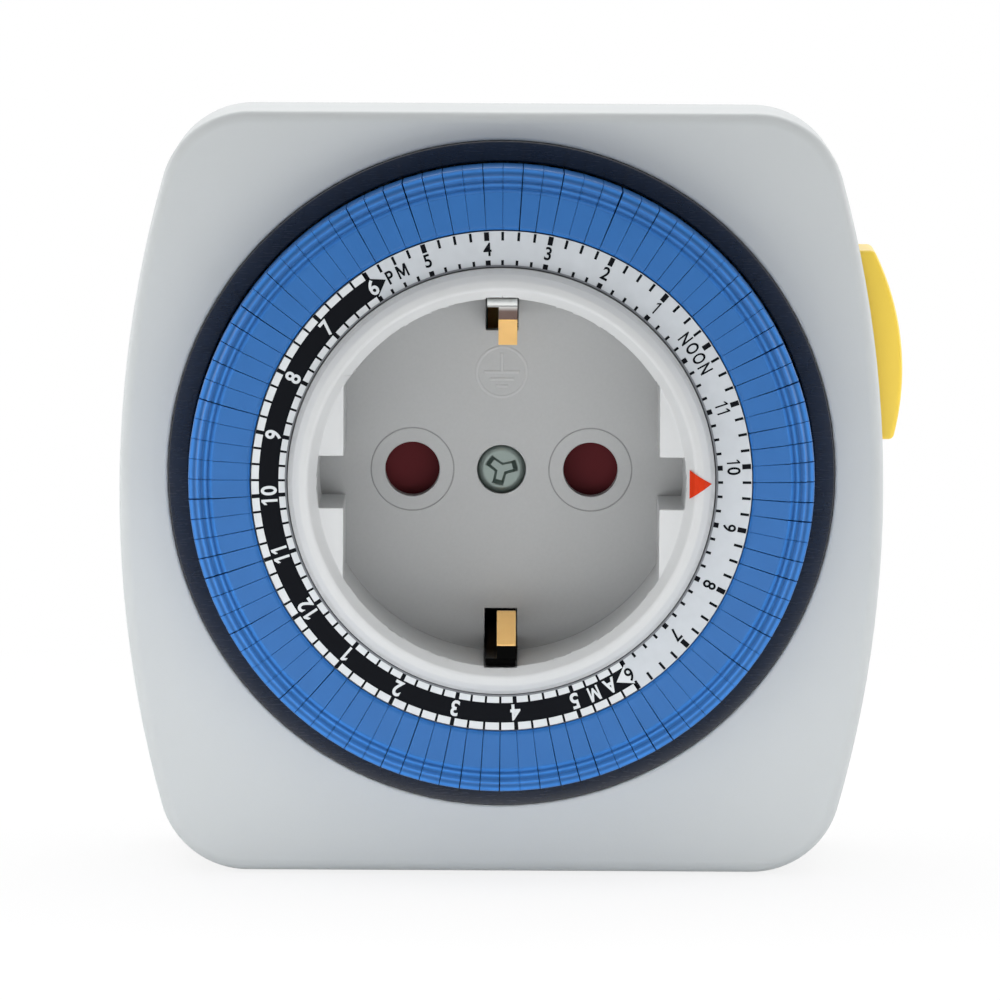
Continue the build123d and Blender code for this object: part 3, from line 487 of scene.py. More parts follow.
def clip_plating(name, slot, bright, fold_shade, warm):
    """Plated strip worn to the brass on its leaves; the upper fold is painted dull brown grey as
    painted shade below a painted highlight along its top, and the lower fold is painted near black
    as painted shade.
    """
    finish = Finish(name, slot)
    tone = finish.noise(3, 3)
    drawn = finish.noise(0.3, 2, (6, 1, 1))
    height = finish.axis(2)
    fold = finish.off(height, 0) > CLIP_FOLD_FROM
    # Painted shade low on the upper fold, a painted highlight along its top.
    stops = [(edge / CLIP_REACH, value) for value, edge in enumerate(CLIP_FOLD_HIGHLIGHT)]
    fold_highlight = finish.ramp(height * (1 / CLIP_REACH), *stops)
    upper = finish.mix(fold_highlight, finish.tone(tone, fold_shade, 0.2), finish.tone(tone, bright, 0.08))
    # The lower fold is painted near black: painted shade.
    plated = finish.mix(height < 0, upper, shade(bright, 0.004))
    return finish.surface({
        "Base Color": finish.mix(fold, finish.tone(tone, warm, 0.1), plated),
        "Metallic": fold * 0.8 + 0.2,
        "Roughness": 0.26 + tone * 0.08 + (drawn - 0.5) * 0.05,
        "Normal": finish.bump(drawn, 0.001),
    })


def winding(name, slot, colour):
    """Enamelled wire wound round the coil, turn beside turn."""
    finish = Finish(name, slot)
    along = {"Vector": finish.place(), "Scale": 900.0}
    turns = finish.node("ShaderNodeTexWave", {"bands_direction": "Y"}, along)
    tone = finish.noise(2, 2)
    return finish.surface({
        # The colour darkens between the turns: painted shade in the grooves between the wires.
        "Base Color": finish.mix(turns * 0.6 + tone * 0.4, shade(colour, 0.35), colour),
        "Metallic": 0.8,
        "Roughness": 0.28 + tone * 0.15,
        "Normal": finish.bump(turns, 0.05),
    })


case_plastic = moulded("case_plastic", "case_plastic", srgb(195, 199, 200), 0.46)
socket_plastic = marked_and_shaded_floor("socket_plastic", "socket_plastic", srgb(197, 199, 200), 0.36)
bezel_gloss = gloss_black("bezel_gloss", "dark_gloss_plastic", (0.012, 0.0145, 0.0215, 1))
tappet_blue = ridged("tappet_blue", "blue_plastic", srgb(46, 103, 168), 0.36)
ring_white = printed("ring_white", srgb(193, 198, 203), 0.42)
ink_black = printed("ink_black", srgb(20, 22, 26), 0.45, 0.02)
ink_white = printed("ink_white", srgb(208, 212, 215), 0.40)
carrier_grey = moulded("carrier_grey", "carrier_plastic", srgb(118, 122, 128), 0.42)
carrier_dark = moulded("carrier_dark", "carrier_plastic", srgb(52, 56, 62), 0.5)
gear_natural = moulded("gear_natural", "carrier_plastic", srgb(206, 206, 198), 0.4)
rocker_yellow = moulded("rocker_yellow", "yellow_plastic", srgb(249, 214, 74), 0.34, flow=0.04)
pointer_red = moulded("pointer_red", "red_plastic", srgb(200, 54, 22), 0.38, shine=0.06)
shutter_red = moulded("shutter_red", "dark_red_plastic", srgb(88, 34, 38), 0.42, shine=0.03)
inner_dark = moulded("inner_dark", "dark_moulding", srgb(58, 58, 60), 0.45)
steel = metal("steel", "plated_steel", srgb(190, 194, 194), 0.30, (1, 1, 6))
nickel = metal("nickel", "nickel_plate", srgb(208, 207, 202), 0.20, (1, 5, 1))
brass = metal("brass", "contact_brass", srgb(226, 180, 106), 0.26, (1, 6, 1))
screw_grey = metal("screw_grey", "plated_steel", srgb(142, 154, 150), 0.32, grain=0.25, relief=0.01)
# Colours: the plating, the painted shade of the upper fold, the brass of the leaves
clip_metal = clip_plating(
    "clip_metal", "plated_steel", srgb(236, 238, 236), srgb(118, 100, 94), srgb(255, 205, 128)
)
copper = winding("copper", "copper_winding", srgb(190, 96, 52))


# ------------------------ mesh building
def point(x, z, depth):
    return Vector((x * MM, -depth * MM, z * MM))


def polar(radius, angle):
    return radius * cos(radians(angle)), radius * sin(radians(angle))


def at_depth(outline, depth):
    return [point(x, z, depth) for x, z in outline]


def turned(angle):
    """Rotation by an angle as seen from the front."""
    return Matrix.Rotation(radians(angle), 3, (0, -1, 0))


def rounded(corners, steps=6):
    """Closed outline whose corners, given as (u, v, radius), are rounded."""
    points = []
    for i, (u, v, radius) in enumerate(corners):
        here = Vector((u, v))
        if radius == 0:
            points.append(here)
            continue
        before = (Vector(corners[i - 1][:2]) - here).normalized()
        after = (Vector(corners[(i + 1) % len(corners)][:2]) - here).normalized()
        half = before.angle(after) / 2
        centre = here + (before + after).normalized() * radius / sin(half)
        start = here + before * radius / tan(half) - centre
        end = here + after * radius / tan(half) - centre
        sweep = start.angle(end)
        for k in range(steps + 1):
            share = k / steps
            arm = start * sin((1 - share) * sweep) + end * sin(share * sweep)
            points.append(centre + arm / sin(sweep))
    return points


def skin(bm, loops, ring=False):
    """Faces between loops of points that have equal counts, closed by caps or as a ring."""
    rows = [[bm.verts.new(p) for p in loop] for loop in loops]
    pairs = list(zip(rows, rows[1:]))
    if ring:
        pairs.append((rows[-1], rows[0]))
    else:
        bm.faces.new(rows[0])
        bm.faces.new(reversed(rows[-1]))
    for low, high in pairs:
        for i in range(len(low)):
            j = (i + 1) % len(low)
            bm.faces.new((low[i], low[j], high[j], high[i]))


def lathe(bm, section, centre=(0, 0), steps=ROUND_STEPS):
    """Closed section of (radius, depth) points, turned round an axis along Y."""
    skin(bm, [at_depth(disc(radius, centre, steps), depth) for radius, depth in section], ring=True)


def prism(bm, outline, back, front):
    """Outline of (x, z) points, carried from one depth to another."""
    skin(bm, [at_depth(outline, depth) for depth in (back, front)])


def side_prism(bm, outline, left, right):
    """Outline of (z, depth) points, carried across from one x to another."""
    skin(bm, [[point(x, z, depth) for z, depth in outline] for x in (left, right)])


def disc(radius, centre=(0, 0), steps=64):
    ring = [polar(radius, 360 * i / steps) for i in range(steps)]
    return [(centre[0] + x, centre[1] + z) for x, z in ring]


def box_outline(left, right, low, high):
    return [(left, low), (right, low), (right, high), (left, high)]


def mesh_object(name, bm):
    bmesh.ops.remove_doubles(bm, verts=bm.verts, dist=1e-7)
    bmesh.ops.recalc_face_normals(bm, faces=bm.faces)
    mesh = bpy.data.meshes.new(name)
    bm.to_mesh(mesh)
    bm.free()
    made = bpy.data.objects.new(name, mesh)
    bpy.context.scene.collection.objects.link(made)
    return made


def evaluated_mesh(thing):
    bpy.context.view_layer.update()
    graph = bpy.context.evaluated_depsgraph_get()
    return bpy.data.meshes.new_from_object(thing.evaluated_get(graph))


def settle(thing):
    """Makes what the modifiers do part of the mesh."""
    thing.data = evaluated_mesh(thing)
    thing.modifiers.clear()


def combine(body, operation, shapes):
    """Boolean of a body with shapes, one by one. A shape is a function that fills a bmesh."""
    for shape in shapes:
        bm = bmesh.new()
        shape(bm)
        tool = mesh_object("tool", bm)
        boolean = body.modifiers.new("combine", "BOOLEAN")
        boolean.operation = operation
        boolean.solver = "EXACT"
        boolean.object = tool
        settle(body)
        bpy.data.objects.remove(tool)


def cut(body, *shapes):
    combine(body, "DIFFERENCE", shapes)


def join(body, *shapes):
    combine(body, "UNION", shapes)


def soften(piece, width):
    """Rounds the piece's sharp edges by a width in millimetres."""
    bevel = piece.modifiers.new("soft_edges", "BEVEL")
    bevel.width = width * MM
    bevel.segments = 3
    bevel.limit_method = "ANGLE"
    bevel.angle_limit = SHARP
    bevel.use_clamp_overlap = False


def polish(piece, finish, *stands_for, edge=0.0):
    """Shades a piece, gives it its finish and hides the nodes that it stands for."""
    piece.data.shade_smooth()
    piece.data.set_sharp_from_angle(angle=SHARP)
    piece.data.materials.append(finish.material)
    if edge:
        soften(piece, edge)
    flat = piece.modifiers.new("flat_faces", "WEIGHTED_NORMAL")
    flat.keep_sharp = True
    if stands_for:
        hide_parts(*stands_for)


def dress(piece, finish, body, *stands_for, edge=0.0):
    """Polishes a piece and lets it ride on a body."""
    polish(piece, finish, *stands_for, edge=edge)
    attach(piece, body)


def new_piece(name, shape, finish, body, *stands_for, edge=0.0):
    """Piece whose mesh a function fills in."""
    bm = bmesh.new()
    shape(bm)
    dress(mesh_object(name, bm), finish, body, *stands_for, edge=edge)


# ------------------------ housing
def case_outline(inset=0.0):
    """Rounded square with bowed sides, anticlockwise from the middle of the right side."""
    side, corner, edge = 12, 16, 12
    top = CASE_TOP - inset - CASE_MID
    bow = SIDE_BOW_R - inset
    corner_r = CORNER_R - inset
    bow_x = CASE_HALF - SIDE_BOW_R
    corner_z = top - corner_r
    corner_x = bow_x + sqrt((bow - corner_r) ** 2 - corner_z**2)
    meet = atan2(corner_z, corner_x - bow_x)
    bow_turns = [meet * i / side for i in range(side)]
    corner_turns = [meet + (pi / 2 - meet) * i / corner for i in range(corner)]
    quarter = [(bow_x + bow * cos(t), bow * sin(t)) for t in bow_turns]
    quarter += [(corner_x + corner_r * cos(t), corner_z + corner_r * sin(t)) for t in corner_turns]
    quarter += [(corner_x * (1 - i / edge), top) for i in range(edge)]
    back = [(0, top)] + quarter[:0:-1]
    right = quarter + [(-x, z) for x, z in back]
    left = [(-x, -z) for x, z in right]
    return [(x, z + CASE_MID) for x, z in right + left]


def turned_to(outline, radius):
    """Circle with one point in the direction of each point of the outline."""
    return [(radius * x / hypot(x, z), radius * z / hypot(x, z)) for x, z in outline]


def quarter_round(radius, steps=6):
    """Rounding of an edge, as pairs of how far in one face it is and how far short of the other."""
    turns = [pi / 2 * i / steps for i in range(steps + 1)]
    return [(radius * (1 - cos(turn)), radius * (1 - sin(turn))) for turn in turns]


def make_front_cover():
    loops = [at_depth(case_outline(), PARTING)]
    for inset, fall in quarter_round(FRONT_ROUND):
        loops.append(at_depth(case_outline(inset), CASE_FACE - fall))
    ledge = CASE_FACE - BEZEL_SEAT_DEPTH
    for radius, depth in (
        (BEZEL_SEAT_R + SEAT_CHAMFER, CASE_FACE),
        (BEZEL_SEAT_R, CASE_FACE - SEAT_CHAMFER),
        (BEZEL_SEAT_R, ledge),
        (BEZEL_LEDGE_R, ledge),
        (BEZEL_LEDGE_R, CASE_FACE - WALL),
    ):
        loops.append(at_depth(turned_to(case_outline(), radius), depth))
    loops += [at_depth(case_outline(WALL), depth) for depth in (CASE_FACE - WALL, PARTING)]
    bm = bmesh.new()
    skin(bm, loops, ring=True)
    cover = mesh_object("front_cover_shell", bm)

    def window(bm):
        low, high = ROCKER_Z
        back, front = ROCKER_DEPTH
        sides = box_outline(30, 50, low - WINDOW_GAP, high + WINDOW_GAP_ABOVE)
        prism(bm, sides, back - WINDOW_GAP, front + WINDOW_GAP)

    cut(cover, window)
    dress(cover, case_plastic, "case", "front_cover", edge=0.18)


def half_ring(radius, flat, steps):
    """Upper half of a circle between two flats at the sides, from right to left."""
    half = degrees(atan2(sqrt(radius**2 - flat**2), flat))
    return [polar(radius, half + (180 - 2 * half) * i / steps) for i in range(steps + 1)]


def both_halves(upper):
    return upper + [(-x, -z) for x, z in upper]


def plug_outline(inset):
    """Outline of the plug body: a circle with a flat at each side and a rib on each flat."""
    rib_x, rib_z = PLUG_RIB[0] - inset, PLUG_RIB[1] - inset
    flat = PLUG_FLAT - inset
    rib = [(flat, -rib_z), (rib_x, -rib_z), (rib_x, rib_z), (flat, rib_z)]
    return both_halves(rib + half_ring(PLUG_R - inset, flat, 60))


def make_rear_housing():
    loops = [at_depth(case_outline(), PARTING - SEAM)]
    for inset, rise in quarter_round(BACK_ROUND):
        depth = CASE_BACK + rise
        draft = (PARTING - depth) * tan(radians(REAR_DRAFT))
        loops.append(at_depth(case_outline(draft + inset), depth))
    bm = bmesh.new()
    skin(bm, loops)
    shell = mesh_object("rear_housing_shell", bm)
    outside, floor = CASE_BACK - THROUGH, CASE_BACK + WALL

    def hollow(bm):
        prism(bm, case_outline(WALL), floor, PARTING + THROUGH)

    def plug(bm):
        levels = quarter_round(PLUG_ROUND, 4) + [(CASE_BACK + THROUGH, 0)]
        skin(bm, [at_depth(plug_outline(inset), depth) for depth, inset in levels])

    def plug_hollow(bm):
        inside = half_ring(PLUG_R - PLUG_WALL, PLUG_FLAT - PLUG_FLAT_WALL, 40)
        prism(bm, both_halves(inside), PLUG_END_WALL, floor + THROUGH)

    def posts(bm):
        for place in SCREWS:
            prism(bm, disc(SCREW_POST_R, place, 32), floor - ROOTED, PARTING - SEAM)
        for place in PLATE_SCREWS:
            prism(bm, disc(PLATE_POST_R, place, 32), floor - ROOTED, PLATE_LEVEL)

    def above_and_below(half_width, inner, outer, back, front):
        """The same cut at the top and the bottom of the plug body."""
        def shape(bm):
            for side in (-1, 1):
                low, high = sorted((side * inner, side * outer))
                prism(bm, box_outline(-half_width, half_width, low, high), back, front)
        return shape

    def wells(bm):
        for place in SCREWS:
            prism(bm, disc(SCREW_WELL_R, place, 48), outside, CASE_BACK + SCREW_WELL_DEPTH)

    def screw_holes(bm):
        for place in SCREWS:
            prism(bm, disc(SCREW_HOLE_R, place, 32), outside, PARTING + THROUGH)

    def pin_seats(bm):
        for side in (-1, 1):
            prism(bm, disc(PIN_SEAT_R, (side * PIN_X, 0), 48), -THROUGH, PIN_SEAT_DEPTH)

    earth_grooves = above_and_below(*EARTH_GROOVE, EARTH_GROOVE_FROM, CASE_BACK)
    strap_slots = above_and_below(*STRAP_SLOT, outside, floor + THROUGH)
    cut(shell, hollow)
    join(shell, plug, posts)
    cut(shell, plug_hollow, earth_grooves, strap_slots, wells, screw_holes, pin_seats)
    dress(shell, case_plastic, "case", "rear_housing", edge=0.3)


def make_case_screws():
    """Long screws with sunk heads, each with a cross recess."""
    shoulder = SCREW_HEAD + SCREW_HEAD_HEIGHT
    section = [
        (0, SCREW_END),
        (SCREW_SHANK_R, SCREW_END),
        (SCREW_SHANK_R, shoulder),
        (SCREW_HEAD_R, shoulder),
        (SCREW_HEAD_R, SCREW_HEAD + 0.5),
        (SCREW_TOP_R, SCREW_HEAD),
        (0, SCREW_HEAD),
    ]
    bm = bmesh.new()
    for place in SCREWS:
        lathe(bm, section, place, 32)
    screws = mesh_object("case_screws", bm)

    def slot(wide, high):
        def shape(bm):
            for x, z in SCREWS:
                outline = box_outline(x - wide, x + wide, z - high, z + high)
                prism(bm, outline, SCREW_HEAD - 0.5, SCREW_HEAD + 1.1)
        return shape

    cut(screws, slot(*CROSS_RECESS), slot(*CROSS_RECESS[::-1]))
    dress(screws, steel, "case", "housing_screws", edge=0.05)


def make_bezel():
    section = rounded([
        (BEZEL_IN, BEZEL_BACK, 0.1),
        (BEZEL_FOOT_R, BEZEL_BACK, 0.1),
        (BEZEL_FOOT_R, CASE_FACE - BEZEL_SEAT_DEPTH, 0),
        (BEZEL_OUT, CASE_FACE - BEZEL_SEAT_DEPTH, 0),
        (BEZEL_OUT, CASE_FACE + 0.12, 0.12),
        (BEZEL_IN, CASE_FACE - 0.3, 0.25),
    ])
    new_piece("bezel", lambda bm: lathe(bm, section), bezel_gloss, "case", "bezel_ring")


def make_rocker():
    centre_x, centre_z, crown_r = ROCKER_CROWN
    low, high = ROCKER_Z
    back, front = ROCKER_DEPTH

    def crown(z):
        return centre_x + sqrt(crown_r**2 - (z - centre_z) ** 2)

    heights = [low + (high - low) * i / 40 for i in range(41)]
    outline = [(crown(z), z) for z in heights]
    outline += [(ROCKER_INNER + 1.2, high), (ROCKER_INNER, high - 6)]
    outline += [(ROCKER_INNER, low + 4), (ROCKER_INNER + 1.4, low)]

    def shape(bm):
        prism(bm, outline, back, front)
        trunnion = disc(TRUNNION_R, ROCKER_AXIS, 32)
        prism(bm, trunnion, back - TRUNNION_LENGTH, front + TRUNNION_LENGTH)
        prism(bm, ROCKER_ARM, *ROCKER_ARM_DEPTH)

    new_piece("rocker", shape, rocker_yellow, "rocker", "override_rocker", edge=0.45)


# ------------------------ socket
def crossing(first, second, index, limit):
    """Point on a straight edge where one of its coordinates reaches a limit."""
    share = (limit - first[index]) / (second[index] - first[index])
    return tuple(p + (q - p) * share for p, q in zip(first, second))


def well_outline():
    """Circle with a flat at each side and a keyway in each flat, on the collar's own points."""
    ring = disc(WELL_R, steps=ROUND_STEPS)[: ROUND_STEPS // 4 + 1]
    keyway = [p for p in ring if p[1] < KEYWAY_Z]
    arc = [p for p in ring if p[0] < WELL_FLAT]
    before, after = len(keyway) - 1, len(ring) - len(arc) - 1
    quarter = keyway + [crossing(*ring[before: before + 2], 1, KEYWAY_Z), (WELL_FLAT, KEYWAY_Z)]
    quarter += [crossing(*ring[after: after + 2], 0, WELL_FLAT)] + arc
    upper = quarter + [(-x, z) for x, z in quarter[-2::-1]]
    return upper + [(-x, -z) for x, z in upper[1:-1]]


def make_socket_insert():
    section = rounded([
        (0, SOCKET_FLOOR - FLOOR_PLATE, 0),
        (COLLAR_R, SOCKET_FLOOR - FLOOR_PLATE, 0),
        (COLLAR_R, 60.2, 0.5),
        (22.0, 61.8, 0.8),
        (21.3, 62.7, 0.7),
        (20.45, CREST, 0.45),
        (WELL_R, CREST - 1.3, 0),
        (0, CREST - 1.3, 0),
    ])
    bm = bmesh.new()
    lathe(bm, section)
    insert = mesh_object("socket_collar", bm)
    behind, above = SOCKET_FLOOR - 4, SOCKET_FLOOR + THROUGH

    def well(bm):
        prism(bm, well_outline(), SOCKET_FLOOR, CREST - 1.0)

    def holes(bm):
        for side in (-1, 1):
            prism(bm, disc(HOLE_R, (side * PIN_X, 0)), behind, above)
        prism(bm, disc(SMALL_SCREW_SEAT_R), SMALL_SCREW_SEAT, above)

    def clip_slots(bm):
        inner, fold, outer = CLIP_SLOT
        open_end = CREST + THROUGH
        section = [
            (inner, behind), (outer, behind), (outer, open_end),
            (fold, open_end), (fold, above), (inner, above),
        ]
        for side in (-1, 1):
            outline = [(side * z, depth) for z, depth in section]
            side_prism(bm, outline, -CLIP_SLOT_HALF, CLIP_SLOT_HALF)

    cut(insert, well, holes, clip_slots)
    dress(insert, socket_plastic, "case", "socket_insert", edge=0.1)


def make_socket_screw():
    """Screw in the middle of the floor: a flat head with a worn three-winged recess."""
    face, seat, neck = SMALL_SCREW_FACE, SMALL_SCREW_SEAT, SMALL_SCREW_SEAT - 0.1
    head = rounded([
        (0, seat, 0),
        (SMALL_SCREW_R, seat, 0),
        (SMALL_SCREW_R, face - 0.35, 0.3),
        (SMALL_SCREW_TOP_R, face, 0.8),
        (0, face, 0),
    ])
    bm = bmesh.new()
    lathe(bm, head, steps=96)
    lathe(bm, box_outline(0, SMALL_SHANK_R, SMALL_SCREW_END, neck), steps=32)
    screw = mesh_object("screw", bm)

    def wing(angle):
        def shape(bm):
            levels = [at_depth(WING_FLOOR, face - WING_DEPTH), at_depth(WING_LIP, face + 0.1)]
            skin(bm, [[turned(angle) @ p for p in level] for level in levels])
        return shape

    cut(screw, *[wing(angle) for angle in WING_ANGLES])
    dress(screw, screw_grey, "case", "socket_screw", edge=0.06)


def bent_strip(bm, line, left, right):
    """Strip bent along a line of (z, depth) points, from one x to another."""
    line = [Vector(p) for p in line]
    runs = [(second - first).normalized() for first, second in zip(line, line[1:])]
    corners = []
    for side in (1, -1):
        for here, before, after in list(zip(line, [runs[0]] + runs, runs + [runs[-1]]))[::side]:
            along = (before + after).normalized()
            aside = Vector((-along.y, along.x)) * side * STRIP_THICKNESS / 2 / along.dot(before)
            turn = before.cross(after)
            inward = side if turn > 0 else -side
            radius = STRIP_BEND - inward * STRIP_THICKNESS / 2 if abs(turn) > 0.01 else 0
            corners.append((*(here + aside), radius))
    outline = rounded(corners)
    half = len(outline) // 2
    loops = []
    for p, q in zip(outline[:half], outline[:half - 1:-1]):
        loops.append([point(left, *p), point(right, *p), point(right, *q), point(left, *q)])
    skin(bm, loops)


def make_earth_clips():
    """Wide strip with a fold at each end, from which the narrower sprung leaves go on."""
    def shape(bm):
        other_leg = [(-z, depth) for z, depth in reversed(CLIP_LEG)]
        bent_strip(bm, CLIP_LEG + other_leg, -CLIP_HALF, CLIP_HALF)
        for side in (1, -1):
            leaf = [(side * z, depth) for z, depth in CLIP_LEAF]
            bent_strip(bm, leaf, CLIP_LEAF_LEFT, CLIP_HALF)

    new_piece("earth_clips", shape, clip_metal, "case", "front_earth_strap", edge=0.08)


def make_return_leaf():
    """Sprung leaf that the shutter bends as it turns, here built in its resting shape, and the post
    that holds it.
    """
    root, bend, tip = Vector(LEAF_ROOT), Vector(LEAF_BEND), Vector(LEAF_TIP)
    steps = 24
    near, far = [], []
    for i in range(steps + 1):
        share = i / steps
        place = root * (1 - share) ** 2 + bend * 2 * share * (1 - share) + tip * share**2
        along = ((bend - root) * (1 - share) + (tip - bend) * share).normalized()
        aside = Vector((-along.y, along.x)) * LEAF_HALF
        near.append(place + aside)
        far.append(place - aside)
    bm = bmesh.new()
    prism(bm, near + far[::-1], *LEAF_DEPTHS)
    leaf = mesh_object("return_leaf", bm)
    polish(leaf, steel, "shutter_spring")
    point(*root, 42)
    point(*tip, 42)
    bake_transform(leaf)

    def post(bm):
        prism(bm, disc(LEAF_POST_R, LEAF_POST, 24), LEAF_POST_BACK, SOCKET_FLOOR - FLOOR_PLATE)

    new_piece("leaf_post", post, steel, "case")


# ------------------------ dial
def hour_angle(hour):
    return (hour - POINTER_TIME) * 360 / HOURS


def make_tappets():
    """Blue wedge-shaped fingers, four to an hour, none quite like its neighbour."""
    chance = random.Random(7)
    section = rounded([
        (TAPPET_IN, TAPPET_BACK, 0),
        (TAPPET_IN, DIAL_FACE, 0.55),
        (30.45, DIAL_FACE, 0.25),
        (30.8, DIAL_FACE - 0.55, 0.12),
        (31.15, DIAL_FACE - 0.22, 0.2),
        (31.55, DIAL_FACE - 0.75, 0.15),
        (32.0, DIAL_FACE - 0.42, 0.2),
        (32.3, DIAL_FACE - 0.95, 0.12),
        (TAPPET_OUT, DIAL_FACE - 1.2, 0.4),
        (TAPPET_OUT, TAPPET_BACK, 0),
    ], 4)
    tail_in, tail_out, tail_back = TAIL

    def finger(bm, angle, gaps, rise):
        turn = turned(angle)
        wedge = tan(radians(QUARTER / 2))
        sides = []
        for side, (near, far) in zip((-1, 1), gaps):
            loop = []
            for radius, depth in section:
                lift = rise if depth > TAPPET_BACK else 0
                share = (radius - TAPPET_IN) / (TAPPET_OUT - TAPPET_IN)
                gap = near + (far - near) * share
                loop.append(turn @ point(radius, side * (radius * wedge - gap), depth + lift))
            sides.append(loop)
        skin(bm, sides)
        tail = box_outline(tail_in, tail_out, -TAIL_HALF, TAIL_HALF)
        ends = [at_depth(tail, depth) for depth in (tail_back, TAPPET_BACK + 0.5)]
        skin(bm, [[turn @ p for p in end] for end in ends])

    for hour in range(HOURS):
        name = f"tappets_{hour:02d}h"
        bm = bmesh.new()
        for quarter in range(TAPPETS_AN_HOUR):
            angle = hour_angle(hour) + (quarter + 0.5) * QUARTER
            gaps = [
                (0.005 + 0.05 * chance.random() ** 3, 0.01 + 0.09 * chance.random() ** 2)
                for _ in range(2)
            ]
            finger(bm, angle, gaps, chance.uniform(-0.07, 0.0))
        dress(mesh_object(f"fingers_{hour:02d}h", bm), tappet_blue, name, name, edge=0.045)


# Layers of the print, the half that is printed black, and its tracks
BLACK_LEVEL = DIAL_FACE - 0.03
BLOCK_LEVEL = DIAL_FACE - 0.02
FIGURE_LEVEL = DIAL_FACE - 0.01
NIGHT_FROM = hour_angle(18)
NIGHT_TO = hour_angle(30)
BAND_IN = 23.48
BAND_OUT = 25.5
TRACK_OUT = 26.3
FIGURE_R = (BAND_IN + BAND_OUT) / 2
THIN_TICK = 0.28
HOUR_TICK = 0.53
THIN_GAP = 0.24
HOUR_GAP = 0.42

# Words: letters, hour they stand by, degrees past it, height, weight of strokes, narrowing
BLACK_WORDS = [("6", 30, 0, 1.5, 0.015, 0.9)]
BLACK_WORDS += [("NOON"[i], 12, (1.5 - i) * 2.95, 1.45, 0.02, 0.66) for i in range(4)]
BLACK_WORDS += [("P", 18, -5.0, 1.42, 0.02, 0.84), ("M", 18, -8.3, 1.42, 0.02, 0.9)]
WHITE_WORDS = [("A", 30, -5.5, 1.6, 0.03, 0.8), ("M", 30, -9.9, 1.6, 0.03, 0.8)]


def patch(bm, inner, outer, start, end, level):
    """Flat piece of a ring between two radii and two angles."""
    steps = max(1, round((end - start) / 1.25))
    angles = [start + (end - start) * i / steps for i in range(steps + 1)]
    rows = [[bm.verts.new(point(*polar(r, a), level)) for r in (inner, outer)] for a in angles]
    for low, high in zip(rows, rows[1:]):
        bm.faces.new((low[0], low[1], high[1], high[0]))


def bar(bm, angle, inner, outer, width, level):
    """Straight tick across a track."""
    corners = box_outline(inner, outer, -width / 2, width / 2)
    bm.faces.new([bm.verts.new(turned(angle) @ p) for p in at_depth(corners, level)])


def arrow(bm, angle, level):
    """Triangle that points clockwise from an hour mark, as deep as a quarter of an hour."""
    tip = polar(FIGURE_R, angle - QUARTER)
    corners = [polar(BAND_IN - 0.1, angle), polar(BAND_OUT + 0.1, angle), tip]
    bm.faces.new([bm.verts.new(p) for p in at_depth(corners, level)])


BOLD_M = [
    (0, 0), (0, 1), (0.2, 1), (0.45, 0.42), (0.7, 1), (0.9, 1), (0.9, 0),
    (0.74, 0), (0.74, 0.62), (0.51, 0.12), (0.39, 0.12), (0.16, 0.62), (0.16, 0),
]
STEM = 7


def flagged_one(stem):
    """Outline of a one with a flag, from the width of its stem."""
    left, right = 0.2, 0.2 + stem
    foot_and_top = [(left, 0), (right, 0), (right, 1), (left + 0.02, 1)]
    return foot_and_top + [(0, 0.82), (0, 0.82 - stem), (left, 0.95 - stem)]


def glyph(letter, weight):
    """Flat mesh of one figure, one unit high, whose strokes have a weight."""
    drawn = {"M": BOLD_M, "1": flagged_one(weight * STEM)}.get(letter)
    if drawn:
        mesh = bpy.data.meshes.new("glyph")
        mesh.from_pydata([(x, y, 0) for x, y in drawn], [], [range(len(drawn))])
        return mesh
    curve = bpy.data.curves.new("glyph", "FONT")
    curve.body = letter
    curve.resolution_u = 6
    curve.offset = weight
    holder = bpy.data.objects.new("glyph", curve)
    bpy.context.scene.collection.objects.link(holder)
    mesh = evaluated_mesh(holder)
    bpy.data.objects.remove(holder)
    left = min(v.co.x for v in mesh.vertices)
    low, high = (side(v.co.y for v in mesh.vertices) for side in (min, max))
    for vertex in mesh.vertices:
        vertex.co = (vertex.co - Vector((left, low, 0))) / (high - low)
    return mesh


def write(bm, words, angle, height, weight, narrow=0.9, gap=0.28):
    """Figures whose tops face outward, centred on an angle and narrowed."""
    glyphs = [glyph(letter, weight) for letter in words]
    widths = [max(v.co.x for v in mesh.vertices) for mesh in glyphs]
    across, up = Vector(polar(1, angle - 90)), Vector(polar(1, angle))
    start = -(sum(widths) + gap * (len(words) - 1)) / 2
    for mesh, width in zip(glyphs, widths):
        for vertex in mesh.vertices:
            aside = (start + vertex.co.x) * height * narrow
            x, z = across * aside + up * (FIGURE_R + (vertex.co.y - 0.5) * height)
            vertex.co = point(x, z, FIGURE_LEVEL)
        bm.from_mesh(mesh)
        bpy.data.meshes.remove(mesh)
        start += width + gap


def write_all(bm, hours, height, weight, words):
    """The figures of some hours, and the words between them."""
    for hour in hours:
        write(bm, str((hour - 1) % 12 + 1), hour_angle(hour), height, weight)
    for letters, hour, past, tall, heavy, narrow in words:
        write(bm, letters, hour_angle(hour) + past, tall, heavy, narrow)


def make_black_print(bm):
    patch(bm, RING_IN, RING_OUT - 0.01, NIGHT_FROM, NIGHT_TO, BLACK_LEVEL)
    arrow(bm, NIGHT_FROM, BLACK_LEVEL)
    for quarter in range(TAPPET_COUNT // 2 + 1):
        angle = NIGHT_TO + quarter * QUARTER
        width = THIN_TICK if quarter % TAPPETS_AN_HOUR else HOUR_TICK
        bar(bm, angle, RING_IN, BAND_IN - 0.15, width, BLACK_LEVEL)
        bar(bm, angle, BAND_OUT - 0.12, TRACK_OUT, width, BLACK_LEVEL)
    write_all(bm, [*range(7, 12), *range(13, 18)], 1.42, 0.018, BLACK_WORDS)


